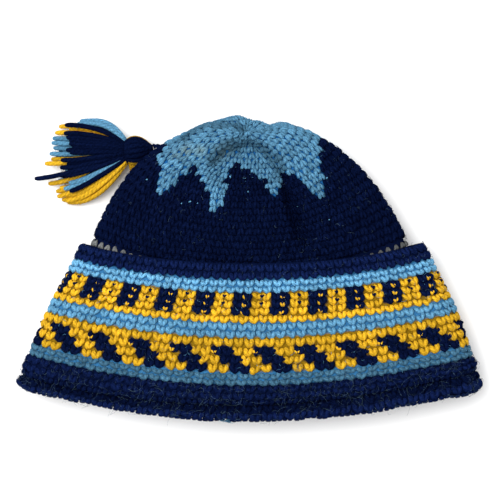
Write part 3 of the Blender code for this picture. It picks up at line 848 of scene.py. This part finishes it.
def gap_shaded_colour(colour, share):
    """The colour darkened as painted shade for the gaps between stitches: times a share, or times one share
    for each channel.
    """
    return np.array([*(np.array(colour) * share), 1.0])


def number(tree, operation, *values):
    """A sum of numbers or sockets in a shader, and its result."""
    node = tree.nodes.new("ShaderNodeMath")
    node.operation = operation
    for socket, value in zip(node.inputs, values):
        if isinstance(value, bpy.types.NodeSocket):
            tree.links.new(value, socket)
        else:
            socket.default_value = value
    return node.outputs[0]


def layer(tree, name, output):
    """Values that a piece carries at its points."""
    node = tree.nodes.new("ShaderNodeAttribute")
    node.attribute_name = name
    return node.outputs[output]


def noise(tree, vector, scale, detail, swing):
    """Noise round 1, from as much below it as above."""
    node = tree.nodes.new("ShaderNodeTexNoise")
    for socket, value in (("Scale", scale), ("Detail", detail), ("Roughness", 0.6)):
        node.inputs[socket].default_value = value
    tree.links.new(vector, node.inputs["Vector"])
    spread = tree.nodes.new("ShaderNodeMapRange")
    reach = (("From Min", 0.30), ("From Max", 0.70), ("To Min", 1 - swing), ("To Max", 1 + swing))
    for socket, value in reach:
        spread.inputs[socket].default_value = value
    tree.links.new(node.outputs["Fac"], spread.inputs["Value"])
    return spread.outputs["Result"]


def yarn_material(name, colour, sheen, specular, grain):
    """Matte wool: plies and fine fibres in colour and relief, with painted shade in the grooves between the
    plies. No colour reads the layer tone.
    """
    material = bpy.data.materials.new(name)
    material.use_nodes = True
    tree = material.node_tree
    shader = tree.nodes["Principled BSDF"]
    shader.inputs["Roughness"].default_value = 0.95
    shader.inputs["Specular IOR Level"].default_value = specular
    shader.inputs["Sheen Weight"].default_value = sheen
    shader.inputs["Sheen Roughness"].default_value = 0.55
    if colour is not None:
        shader.inputs["Sheen Tint"].default_value = (*colour, 1.0)
    place = tree.nodes.new("ShaderNodeTexCoord").outputs["Object"]
    strand = tree.nodes.new("ShaderNodeSeparateXYZ")
    tree.links.new(layer(tree, "strand", "Vector"), strand.inputs[0])
    angle = number(tree, "ARCTAN2", strand.outputs["Y"], strand.outputs["X"])
    twist = number(tree, "MULTIPLY", strand.outputs["Z"], 2 * np.pi / PLY_PITCH)
    lay = number(tree, "SUBTRACT", angle, twist)
    groove = number(tree, "MULTIPLY", lay, PLIES / 2)
    ply = number(tree, "ABSOLUTE", number(tree, "COSINE", groove))
    fine = noise(tree, place, FIBRE_SCALE, 3.0, grain)
    wide = noise(tree, place, PATCH_SCALE, 2.0, 0.10)
    stitch = number(tree, "MULTIPLY_ADD", layer(tree, "shade", "Fac"), SHADE_STEP, 1.0)
    # Painted shade: the colour is darker in the grooves between the plies
    depth = number(tree, "MULTIPLY_ADD", ply, 0.30, 0.76)
    total = number(
        tree,
        "MULTIPLY",
        number(tree, "MULTIPLY", fine, wide),
        number(tree, "MULTIPLY", stitch, depth),
    )
    tint = tree.nodes.new("ShaderNodeVectorMath")
    tint.operation = "SCALE"
    tree.links.new(total, tint.inputs["Scale"])
    if colour is None:
        tree.links.new(layer(tree, "tone", "Color"), tint.inputs[0])
    else:
        tint.inputs[0].default_value = colour
    stain = tree.nodes.new("ShaderNodeMix")
    stain.data_type = "RGBA"
    tree.links.new(layer(tree, "stain", "Fac"), stain.inputs[0])
    tree.links.new(tint.outputs["Vector"], stain.inputs[6])
    stain.inputs[7].default_value = STAIN_COLOUR
    tree.links.new(stain.outputs[2], shader.inputs["Base Color"])
    height = number(tree, "MULTIPLY_ADD", ply, 0.8, number(tree, "MULTIPLY", fine, 0.55))
    bump = tree.nodes.new("ShaderNodeBump")
    bump.inputs["Strength"].default_value = 0.6
    bump.inputs["Distance"].default_value = 0.0005
    tree.links.new(height, bump.inputs["Height"])
    tree.links.new(bump.outputs["Normal"], shader.inputs["Normal"])
    return material


def yarns(context):
    """The yarn materials, made once from the chosen colours."""
    chosen = context.scene.beanie_yarns
    haze = tuple(0.34 * c + 0.055 for c in chosen.light_blue)
    made = {}
    for letter, name, colour, sheen, specular, grain in (
        ("N", "navy_wool", chosen.navy, 0.04 * chosen.sheen, 0.0, 0.62),
        ("B", "light_blue_wool", chosen.light_blue, 0.4 * chosen.sheen, 0.03, 0.45),
        ("Y", "yellow_wool", chosen.yellow, 0.3 * chosen.sheen, 0.03, 0.36),
        ("G", "grey_wool", chosen.grey, 0.3 * chosen.sheen, 0.03, 0.36),
        ("H", "pale_fibres", haze, 0.0, 0.0, 0.36),
        ("ground", "fabric_ground", None, 0.0, 0.0, 0.36),
    ):
        made[letter] = bpy.data.materials.get(name)
        if made[letter] is None:
            tint = None if colour is None else tuple(colour)
            made[letter] = yarn_material(name, tint, sheen, specular, grain)
    return made


class BEANIE_OT_crown(bpy.types.Operator):
    """Build the crown: its fabric, its navy and blue stitches and the grey round"""

    bl_idname = "beanie.crown"
    bl_label = "Crown"

    def execute(self, context):
        sizes = context.scene.beanie_fabric
        made = yarns(context)
        fabric = crown_fabric()
        laid = {yarn: Stitches(fabric, 1, sizes.seed + i, CROWN_HEIGHT) for i, yarn in enumerate("NBG")}
        for row in range(CROWN_ROWS):
            count = stitches_in(fabric, row)
            for stitch in range(count):
                turn = (stitch + 0.5 - CROWN_SLANT * row) / count
                if row == CROWN_ROWS - 1:
                    # Painted light on the grey round's left half, painted shade on its right half
                    shade = GREY_PAINTED_LIGHT if abs(turn % 1.0 - 0.5) > 0.25 else -GREY_PAINTED_LIGHT
                    lower = GREY_DROP[0] if turn % 1.0 < GREY_TURN else GREY_DROP[1]
                    laid["G"].add(row + lower, turn, 1 / count, GREY_SIZE, shade)
                else:
                    letter = "B" if star_is_blue(fabric, row + 0.5, turn) else "N"
                    laid[letter].add(row, turn, 1 / count, 1.0, CROWN_SHADES[letter])
        for letter, name in (("N", "navy"), ("B", "star"), ("G", "grey")):
            laid[letter].build(f"crown_{name}_stitches", letter, made, sizes.relief)
        flecks = Stitches(fabric, 1, 40)
        for turn, row, size in FLECKS:
            flecks.add(row - 0.5, turn, 1 / STITCHES, size, SHADE_LIMIT)
        flecks.build("crown_flecks", "B", made, FLECK_RELIEF * sizes.relief)
        self.ground(context, fabric, made)
        return {"FINISHED"}

    def ground(self, context, fabric, made):
        """The fabric between and behind the stitches, down to the hem inside the cuff."""
        chosen = context.scene.beanie_yarns
        around = 160
        rows, turns = grid_of(np.linspace(0.02, CROWN_ROWS, 60), around)
        outer, _ = fabric.read(rows, turns, np.full(rows.shape, -GROUND_DEPTH))
        hidden = crown_rounds(np.linspace(CROWN_SHOWN + 0.02, 1.0, 12), around)
        hidden = hidden - 0.0007 * normals_of(hidden)
        upper = dented(crown_rounds(np.linspace(0.004, 0.52, 34), around))
        lower = crown_rounds(np.linspace(0.53, 1.0, 30), around)
        inside = np.concatenate([upper, lower])
        beat = np.arange(len(inside))[:, None] / len(inside) * INSIDE_RIBS
        ribs = RIB_HEIGHT * np.cos(2 * np.pi * beat)
        knobs = np.cos(2 * np.pi * (STITCHES * turns[:1] + 0.5 * np.floor(beat)))
        ribs = ribs + KNOB_HEIGHT * knobs
        inside = inside - normals_of(inside) * (WALL - GROUND_DEPTH + ribs)[..., None]
        # Painted shade: the ground in the gaps is a darkened copy of each yarn's colour
        navy = gap_shaded_colour(chosen.navy, CROWN_NAVY_GAP_SHADE)
        blue = gap_shaded_colour(chosen.light_blue, STAR_GAP_SHADE)
        tones = np.where(star_is_blue(fabric, rows, turns)[..., None], blue, navy)
        tones = np.concatenate([tones, np.tile(navy, (len(hidden), around, 1))])
        reverse = np.tile(navy, (len(inside), around, 1))
        outer = np.concatenate([outer, hidden])
        ground = add_ground("crown_ground", outer, inside, tones, reverse, made, False)
        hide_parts("crown")


class BEANIE_OT_cuff(bpy.types.Operator):
    """Build the turned-up cuff: its fabric and its stitches in three colours"""

    bl_idname = "beanie.cuff"
    bl_label = "Cuff"

    def execute(self, context):
        sizes = context.scene.beanie_fabric
        made = yarns(context)
        fabric = cuff_fabric()
        laid = {yarn: Stitches(fabric, -1, sizes.seed + 10 + i) for i, yarn in enumerate("NBY")}
        spots = {letter: Stitches(fabric, -1, sizes.seed + 20 + i) for i, letter in enumerate(CUFF_SPOTS)}
        width = 1 / CUFF_STITCHES
        for row, (chart, shade) in enumerate(CUFF_CHART):
            for stitch in range(CUFF_STITCHES):
                turn = cuff_turn(row, stitch + 0.5)
                letter = chart[stitch % len(chart)]
                laid[SPOTTED.get(letter, letter)].add(row, turn, width, 1.0, shade)
                if letter in CUFF_SPOTS:
                    _, _, down, across, size, _ = CUFF_SPOTS[letter]
                    spots[letter].add(row + down, turn + across * width, width, size)
        for letter, name in YARN_NAMES:
            laid[letter].build(f"cuff_{name}_stitches", letter, made, sizes.relief)
        for letter, (name, yarn, _, _, _, relief) in CUFF_SPOTS.items():
            spots[letter].build(name, yarn, made, relief * sizes.relief)
        self.ground(context, fabric, made)
        return {"FINISHED"}

    def ground(self, context, fabric, made):
        """The fabric between and behind the stitches."""
        chosen = context.scene.beanie_yarns
        around = 4 * CUFF_STITCHES
        rows, turns = grid_of(np.linspace(0.0, 24.0, 73), around)
        outer, _ = fabric.read(rows, turns, np.full(rows.shape, -GROUND_DEPTH))
        back = cuff_rounds(np.linspace(0.004, 0.905, 18), around)
        back = back - (WALL - 0.0003) * normals_of(back)
        # Painted shade: the ground in the gaps is a darkened copy of each yarn's colour
        shades = {
            "N": gap_shaded_colour(chosen.navy, CUFF_NAVY_GAP_SHADE),
            "B": gap_shaded_colour(chosen.light_blue, STRIPE_GAP_SHADE),
            "Y": gap_shaded_colour(chosen.yellow, YELLOW_GAP_SHADE),
        }
        tones = np.empty((*rows.shape, 4))
        for i, row in enumerate(rows[:, 0]):
            chart = CUFF_CHART[min(int(row), len(CUFF_CHART) - 1)][0]
            for k in range(around):
                place = (turns[0, k] - cuff_turn(int(row), 0)) * CUFF_STITCHES
                letter = chart[int(np.floor(place)) % len(chart)]
                tones[i, k] = shades[SPOTTED.get(letter, letter)]
        reverse = np.tile(shades["N"], (len(back), around, 1))
        ground = add_ground("cuff_ground", outer, back, tones, reverse, made, True)
        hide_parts("cuff")


def tassel_frame():
    """The middle of the neck, the way the skirt points, and the way across it."""
    lean = np.radians(TASSEL_TURN)
    along = np.array([-np.cos(lean), np.sin(lean), 0.0])
    side = np.array([-np.sin(lean), -np.cos(lean), 0.0])
    return np.array(TASSEL_NECK), along, side


def strand_route(out, up, height, bow, start_side, start_height, curl):
    """From the neck out to the strand's end, spreading early and level at last."""
    neck = np.array(TASSEL_NECK)
    t = np.linspace(0.0, 1.0, ROUTE_POINTS)
    spread = 1 - (1 - t) ** bow
    rise = 1 - (1 - t) ** 2.2
    x = neck[0] - 0.001 * out * t
    y = neck[1] + start_side * (1 - spread) + 0.001 * up * spread
    z = neck[2] + start_height * (1 - rise) + (0.001 * height - neck[2]) * rise
    z = z + 0.0022 * np.sin(np.pi * np.minimum(t * 1.4, 1.0)) - 0.002 * t**3
    wave = curl * np.sin(7 * t + 3 * bow) * t
    return np.stack([x, y + wave, z], axis=1)


def tapered(routes, radius):
    """Radii that thin out over the last points of each route."""
    taper = np.full(np.shape(routes)[:2], radius)
    taper[:, -3:] = taper[:, -3:] * (0.98, 0.90, 0.62)
    return taper


class BEANIE_OT_tassel(bpy.types.Operator):
    """Build the tassel: plied strands, looped head, wound neck and cord"""

    bl_idname = "beanie.tassel"
    bl_label = "Tassel"

    def execute(self, context):
        sizes = context.scene.beanie_tassel
        made = yarns(context)
        chance = np.random.default_rng(sizes.seed)
        radius = sizes.strand / 2
        routes = self.skirt(sizes, chance)
        for letter, name in YARN_NAMES:
            lines = np.array(routes[letter])
            lines[..., 2] = np.maximum(lines[..., 2], radius * 1.05 + TABLE_CLEARANCE)
            shades = chance.normal(STRAND_SHADES[letter], 0.8, len(lines))
            piece = add_strands(f"tassel_{name}_strands", lines, tapered(lines, radius), letter, made, shades)
            if letter == "N":
                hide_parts("tassel")
        self.fray(made, radius, routes, sizes.seed)
        self.head(made, radius, chance)
        self.binding(made)
        self.cord(made)
        return {"FINISHED"}

    def skirt(self, sizes, chance):
        """Routes of the strands of each colour: those on top by the table, the rest by chance."""
        routes = {letter: [] for letter in "NBY"}
        for out, up, height, bow, colour in TOP_STRANDS:
            start = np.clip(up / 36, -1, 1) * 0.0042
            rise = 0.003 * (height - 8) / 8
            routes[colour].append(strand_route(out, up, height, bow, start, rise, 0.0004))
        for level, height in enumerate(LOWER_HEIGHTS):
            for k in range(sizes.layer_strands):
                across = (k + 0.5 + chance.uniform(-0.3, 0.3)) / sizes.layer_strands
                up = LOWER_SIDES[0] + (LOWER_SIDES[1] - LOWER_SIDES[0]) * across
                out = LOWER_REACH - LOWER_ROUNDING * (2 * across - 1) ** 2
                out = out + chance.uniform(-5, 4)
                colour = chance.choice(list("NNBBYY"))
                if across > YELLOW_SIDE:
                    colour = chance.choice(list("YYYY"))  # drawn, so that the later draws stay
                top = height + chance.uniform(-0.4, 0.4)
                start = (0.5 - across) * 0.008
                rise = -0.0035 + 0.0025 * level
                routes[colour].append(strand_route(out, up, top, 3.0 - 1.2 * across, start, rise, 0.0010))
        return routes

    def fray(self, made, radius, routes, seed):
        """Short fibres that stand off the strands, most of them near the ends."""
        chance = np.random.default_rng(seed + 1)
        t = np.linspace(0, 1, 4)[None, :, None]
        for letter, name in YARN_NAMES:
            lines = np.array(routes[letter])
            count = FRAY_PER_STRAND * len(lines)
            strand = chance.integers(0, len(lines), count)
            at = chance.uniform(0.35, 1.0, count) ** 0.6
            point = np.minimum((at * (lines.shape[1] - 1)).astype(int), lines.shape[1] - 2)
            start = lines[strand, point]
            ahead = unit(lines[strand, point + 1] - start)
            away = chance.normal(size=(count, 3))
            away = unit(away - ahead * (away * ahead).sum(axis=1, keepdims=True))
            size = chance.uniform(*FRAY_LENGTHS, count)[:, None, None]
            line = (start + 0.9 * radius * away)[:, None] + size * t * (away + 0.9 * ahead)[:, None]
            line = line + size * t**2 * chance.normal(0, 0.5, (count, 1, 3))
            add_strands(f"tassel_{name}_fibres", line, FRAY_RADIUS, letter, made, 1.0, sides=3)

    def head(self, made, radius, chance):
        """Strands that run from the neck round the top of the head."""
        neck, along, side = tassel_frame()
        routes = {"N": [], "Y": []}
        reach = HEAD_WIDTH / 2 - radius
        t = np.linspace(0.0, 1.0, 30)
        swell = 0.50 + 0.50 * np.sin(np.pi * np.minimum(0.08 + t * 1.02, 1.0)) ** 0.75
        swell = swell * np.sqrt(np.maximum(1 - t**4, 0.0))
        back = (HEAD_LENGTH - radius) * t - 0.0020
        for k in range(HEAD_LOOPS):
            angle = 2 * np.pi * (k + 0.5) / HEAD_LOOPS
            way = np.cos(angle) * side + np.sin(angle) * UPWARD
            line = neck - back[:, None] * along + (reach * swell + 0.0003)[:, None] * way
            yellow = abs(np.cos(angle)) > 0.72 and np.sin(angle) < 0.35
            routes["Y" if yellow else "N"].append(line)
        for letter, name in (("N", "tassel_head"), ("Y", "tassel_head_yellow")):
            shades = chance.normal(HEAD_SHADE, 0.3, len(routes[letter]))
            add_strands(name, routes[letter], radius * 1.08, letter, made, shades)

    def binding(self, made):
        """Turns of yarn round the neck."""
        neck, along, side = tassel_frame()
        turn = np.linspace(0, 2 * np.pi * WINDING_TURNS, 150)
        line = neck + WINDING_REACH * np.cos(turn)[:, None] * side
        line = line + WINDING_REACH * np.sin(turn)[:, None] * UPWARD
        line = line + ((turn / turn[-1] - 0.5) * WINDING_LENGTH)[:, None] * along
        piece = add_strands("tassel_winding", [line], WINDING_RADIUS, "N", made, WINDING_SHADE)
        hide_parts("tassel_binding")

    def cord(self, made):
        """The cord that ties the head to the crown: two strands twisted together."""
        points = np.array(CORD_ROUTE)
        run = run_of(points)
        at = np.linspace(0.0, run[-1], CORD_POINTS)
        route = through(np.column_stack([run, points]), at)[:, 1:]
        turn = np.linspace(0, 2 * np.pi * CORD_TWISTS, CORD_POINTS)[:, None]
        across = np.array([0.45, -0.89, 0.0])
        offset = 0.22 * CORD_THICKNESS * (np.cos(turn) * across + np.sin(turn) * UPWARD)
        lines = [route + offset, route - offset]
        piece = add_strands("tassel_twisted_cord", lines, 0.27 * CORD_THICKNESS, "N", made, 0.0)
        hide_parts("tassel_cord")


def fibres(fabric, rows, turns, count, length, lift, curl, chance):
    """Loose fibres that curl up from the fabric, as routes of a few points."""
    row = chance.uniform(*rows, count)
    turn = chance.uniform(*turns, count)
    root, facing = fabric.read(row, turn, np.full(count, FIBRE_ROOT))
    ahead = chance.normal(size=(count, 3))
    ahead = unit(ahead - facing * (ahead * facing).sum(axis=1, keepdims=True))
    aside = np.cross(facing, ahead)
    size = length * np.minimum(chance.lognormal(0, FIBRE_SPREAD, (count, 1)), FIBRE_LONGEST)
    t = np.linspace(0, 1, FIBRE_POINTS)[None, :]
    angle = chance.normal(0, curl, (count, 1)) * t[:, :-1]
    start = np.zeros((count, 1))
    step = size / (FIBRE_POINTS - 1)
    on = np.concatenate([start, np.cumsum(np.cos(angle), axis=1)], axis=1) * step
    off = np.concatenate([start, np.cumsum(np.sin(angle), axis=1)], axis=1) * step
    up = lift * chance.uniform(0.3, 1.2, (count, 1)) * np.sin(np.pi * 0.75 * t)
    line = root[:, None, :] + on[..., None] * ahead[:, None, :]
    return line + off[..., None] * aside[:, None, :] + up[..., None] * facing[:, None, :]


class BEANIE_OT_fuzz(bpy.types.Operator):
    """Build the loose wool fibres that stand off the fabric"""

    bl_idname = "beanie.fuzz"
    bl_label = "Fuzz"

    def execute(self, context):
        sizes = context.scene.beanie_fabric
        made = yarns(context)
        chance = np.random.default_rng(sizes.seed + 50)
        fabrics = {"crown": crown_fabric(), "cuff": cuff_fabric()}
        for name, letter, fabric, first, last, left, right, count, length, lift, curl in FUZZ:
            count = max(1, int(count * sizes.fuzz))
            place = (first, last), (left, right)
            lines = fibres(fabrics[fabric], *place, count, length, lift, curl, chance)
            lines[..., 2] = np.maximum(lines[..., 2], 2 * TABLE_CLEARANCE)
            radius, mean_shade = FIBRE_LOOKS[letter]
            shades = chance.normal(mean_shade, 2.2, count)
            add_strands(name, lines, radius, letter, made, shades, sides=3)
        return {"FINISHED"}


class BEANIE_OT_stage(bpy.types.Operator):
    """Build the floor, the soft lights and the camera above the hat"""

    bl_idname = "beanie.stage"
    bl_label = "Stage"

    def execute(self, context):
        chosen = context.scene.beanie_stage
        scene = context.scene
        self.floor(scene, chosen)
        world = bpy.data.worlds.new("studio")
        world.use_nodes = True
        sky = world.node_tree.nodes["Background"]
        sky.inputs["Color"].default_value = (1.0, 1.0, 1.0, 1.0)
        sky.inputs["Strength"].default_value = chosen.fill
        scene.world = world
        for name, place, share, size in LAMPS:
            light = bpy.data.lights.new(name, "AREA")
            light.energy = chosen.key * share
            light.size = size
            lamp = bpy.data.objects.new(name, light)
            lamp.location = place
            away = np.array(place) - np.array([0.0, 0.0, 0.02])
            flat = np.hypot(away[0], away[1])
            lamp.rotation_euler = (np.arctan2(flat, away[2]), 0.0, np.arctan2(away[0], -away[1]))
            scene.collection.objects.link(lamp)
        camera = bpy.data.cameras.new("camera")
        camera.sensor_width = 36.0
        camera.lens = camera.sensor_width * (chosen.camera_height - FRAMED_HEIGHT) / chosen.frame_width
        camera.clip_end = 20.0
        eye = bpy.data.objects.new("camera", camera)
        eye.location = (chosen.aim[0], chosen.aim[1], chosen.camera_height)
        eye.rotation_euler = (0.0, 0.0, 0.0)
        scene.collection.objects.link(eye)
        scene.camera = eye
        scene.view_settings.view_transform = "Standard"
        return {"FINISHED"}

    def floor(self, scene, chosen):
        """A plain pale sheet under the hat."""
        mesh = bpy.data.meshes.new("floor")
        reach = FLOOR_REACH
        corners = [(-reach, -reach, 0), (reach, -reach, 0), (reach, reach, 0), (-reach, reach, 0)]
        mesh.from_pydata(corners, [], [(0, 1, 2, 3)])
        floor = bpy.data.objects.new("floor", mesh)
        scene.collection.objects.link(floor)
        paper = bpy.data.materials.new("paper")
        paper.use_nodes = True
        shader = paper.node_tree.nodes["Principled BSDF"]
        shader.inputs["Base Color"].default_value = (*chosen.floor, 1.0)
        shader.inputs["Roughness"].default_value = 0.9
        shader.inputs["Specular IOR Level"].default_value = 0.1
        mesh.materials.append(paper)


class BeanieYarns(bpy.types.PropertyGroup):
    navy: FloatVectorProperty(
        name="Navy", description="Colour of the main yarn",
        subtype="COLOR", default=(0.0030, 0.0072, 0.0360), min=0, max=1,
    )
    light_blue: FloatVectorProperty(
        name="Light blue", description="Colour of the star and the stripes",
        subtype="COLOR", default=(0.104, 0.280, 0.445), min=0, max=1,
    )
    yellow: FloatVectorProperty(
        name="Yellow", description="Colour of the patterned bands",
        subtype="COLOR", default=(0.735, 0.418, 0.021), min=0, max=1,
    )
    grey: FloatVectorProperty(
        name="Grey", description="Colour of the round above the cuff",
        subtype="COLOR", default=(0.120, 0.125, 0.125), min=0, max=1,
    )
    sheen: FloatProperty(
        name="Sheen", description="How strongly the fine fibres catch light at the edges",
        subtype="FACTOR", default=0.25, min=0, max=1,
    )


class BeanieFabric(bpy.types.PropertyGroup):
    relief: FloatProperty(
        name="Relief", description="How far the stitches stand out, as a share of the real height",
        default=1.0, min=0.2, max=2.0,
    )
    fuzz: FloatProperty(
        name="Fuzz", description="How many loose fibres, as a share of the usual number",
        default=1.0, min=0, max=3,
    )
    seed: IntProperty(name="Seed", description="Changes the unevenness of the stitches", default=7, min=0)


class BeanieTassel(bpy.types.PropertyGroup):
    strand: FloatProperty(
        name="Strand", description="Thickness of one strand",
        unit="LENGTH", default=0.0033, min=0.001, max=0.006,
    )
    layer_strands: IntProperty(
        name="Strands", description="Strands in each lower layer of the skirt", default=13, min=4, max=30
    )
    seed: IntProperty(name="Seed", description="Changes how the lower strands lie", default=11, min=0)


class BeanieStage(bpy.types.PropertyGroup):
    floor: FloatVectorProperty(
        name="Floor", description="Colour of the floor",
        subtype="COLOR", default=(0.94, 0.94, 0.94), min=0, max=1,
    )
    fill: FloatProperty(
        name="Fill light", description="Strength of the light from all round", default=0.66, min=0
    )
    key: FloatProperty(
        name="Key light", description="Power of the soft light from the upper left, in watts",
        default=34.0, min=0,
    )
    camera_height: FloatProperty(
        name="Camera height", description="Height of the camera above the floor",
        unit="LENGTH", default=1.20, min=0.3,
    )
    frame_width: FloatProperty(
        name="Frame width", description="Width that the picture shows at the hat",
        unit="LENGTH", default=0.3225, min=0.05,
    )
    aim: FloatVectorProperty(
        name="Aim", description="Point under the camera", size=2, unit="LENGTH", default=(0.0010, 0.0116)
    )


class BEANIE_PT_panel(bpy.types.Panel):
    """Sizes, colours and buttons for the beanie"""

    bl_idname = "BEANIE_PT_panel"
    bl_label = "Crocheted Beanie"
    bl_space_type = "VIEW_3D"
    bl_region_type = "UI"
    bl_category = "Beanie"

    def draw(self, context):
        scene = context.scene
        for title, group, names, operators in (
            ("Yarns", scene.beanie_yarns, "navy light_blue yellow grey sheen", ""),
            ("Fabric", scene.beanie_fabric, "relief fuzz seed", "crown cuff fuzz"),
            ("Tassel", scene.beanie_tassel, "strand layer_strands seed", "tassel"),
            ("Stage", scene.beanie_stage, "floor fill key camera_height frame_width aim", "stage"),
        ):
            box = self.layout.box()
            box.label(text=title)
            for name in names.split():
                box.prop(group, name)
            for operator in operators.split():
                box.operator(f"beanie.{operator}")


CLASSES = (
    BeanieYarns,
    BeanieFabric,
    BeanieTassel,
    BeanieStage,
    BEANIE_OT_crown,
    BEANIE_OT_cuff,
    BEANIE_OT_tassel,
    BEANIE_OT_fuzz,
    BEANIE_OT_stage,
    BEANIE_PT_panel,
)


def register():
    for cls in CLASSES:
        bpy.utils.register_class(cls)
    bpy.types.Scene.beanie_yarns = PointerProperty(type=BeanieYarns)
    bpy.types.Scene.beanie_fabric = PointerProperty(type=BeanieFabric)
    bpy.types.Scene.beanie_tassel = PointerProperty(type=BeanieTassel)
    bpy.types.Scene.beanie_stage = PointerProperty(type=BeanieStage)


def unregister():
    del bpy.types.Scene.beanie_stage
    del bpy.types.Scene.beanie_tassel
    del bpy.types.Scene.beanie_fabric
    del bpy.types.Scene.beanie_yarns
    for cls in reversed(CLASSES):
        bpy.utils.unregister_class(cls)


def main():
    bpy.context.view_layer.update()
    register()
    bpy.ops.beanie.stage()
    bpy.ops.beanie.crown()
    bpy.ops.beanie.cuff()
    bpy.ops.beanie.tassel()
    bpy.ops.beanie.fuzz()


if __name__ == "__main__":
    main()
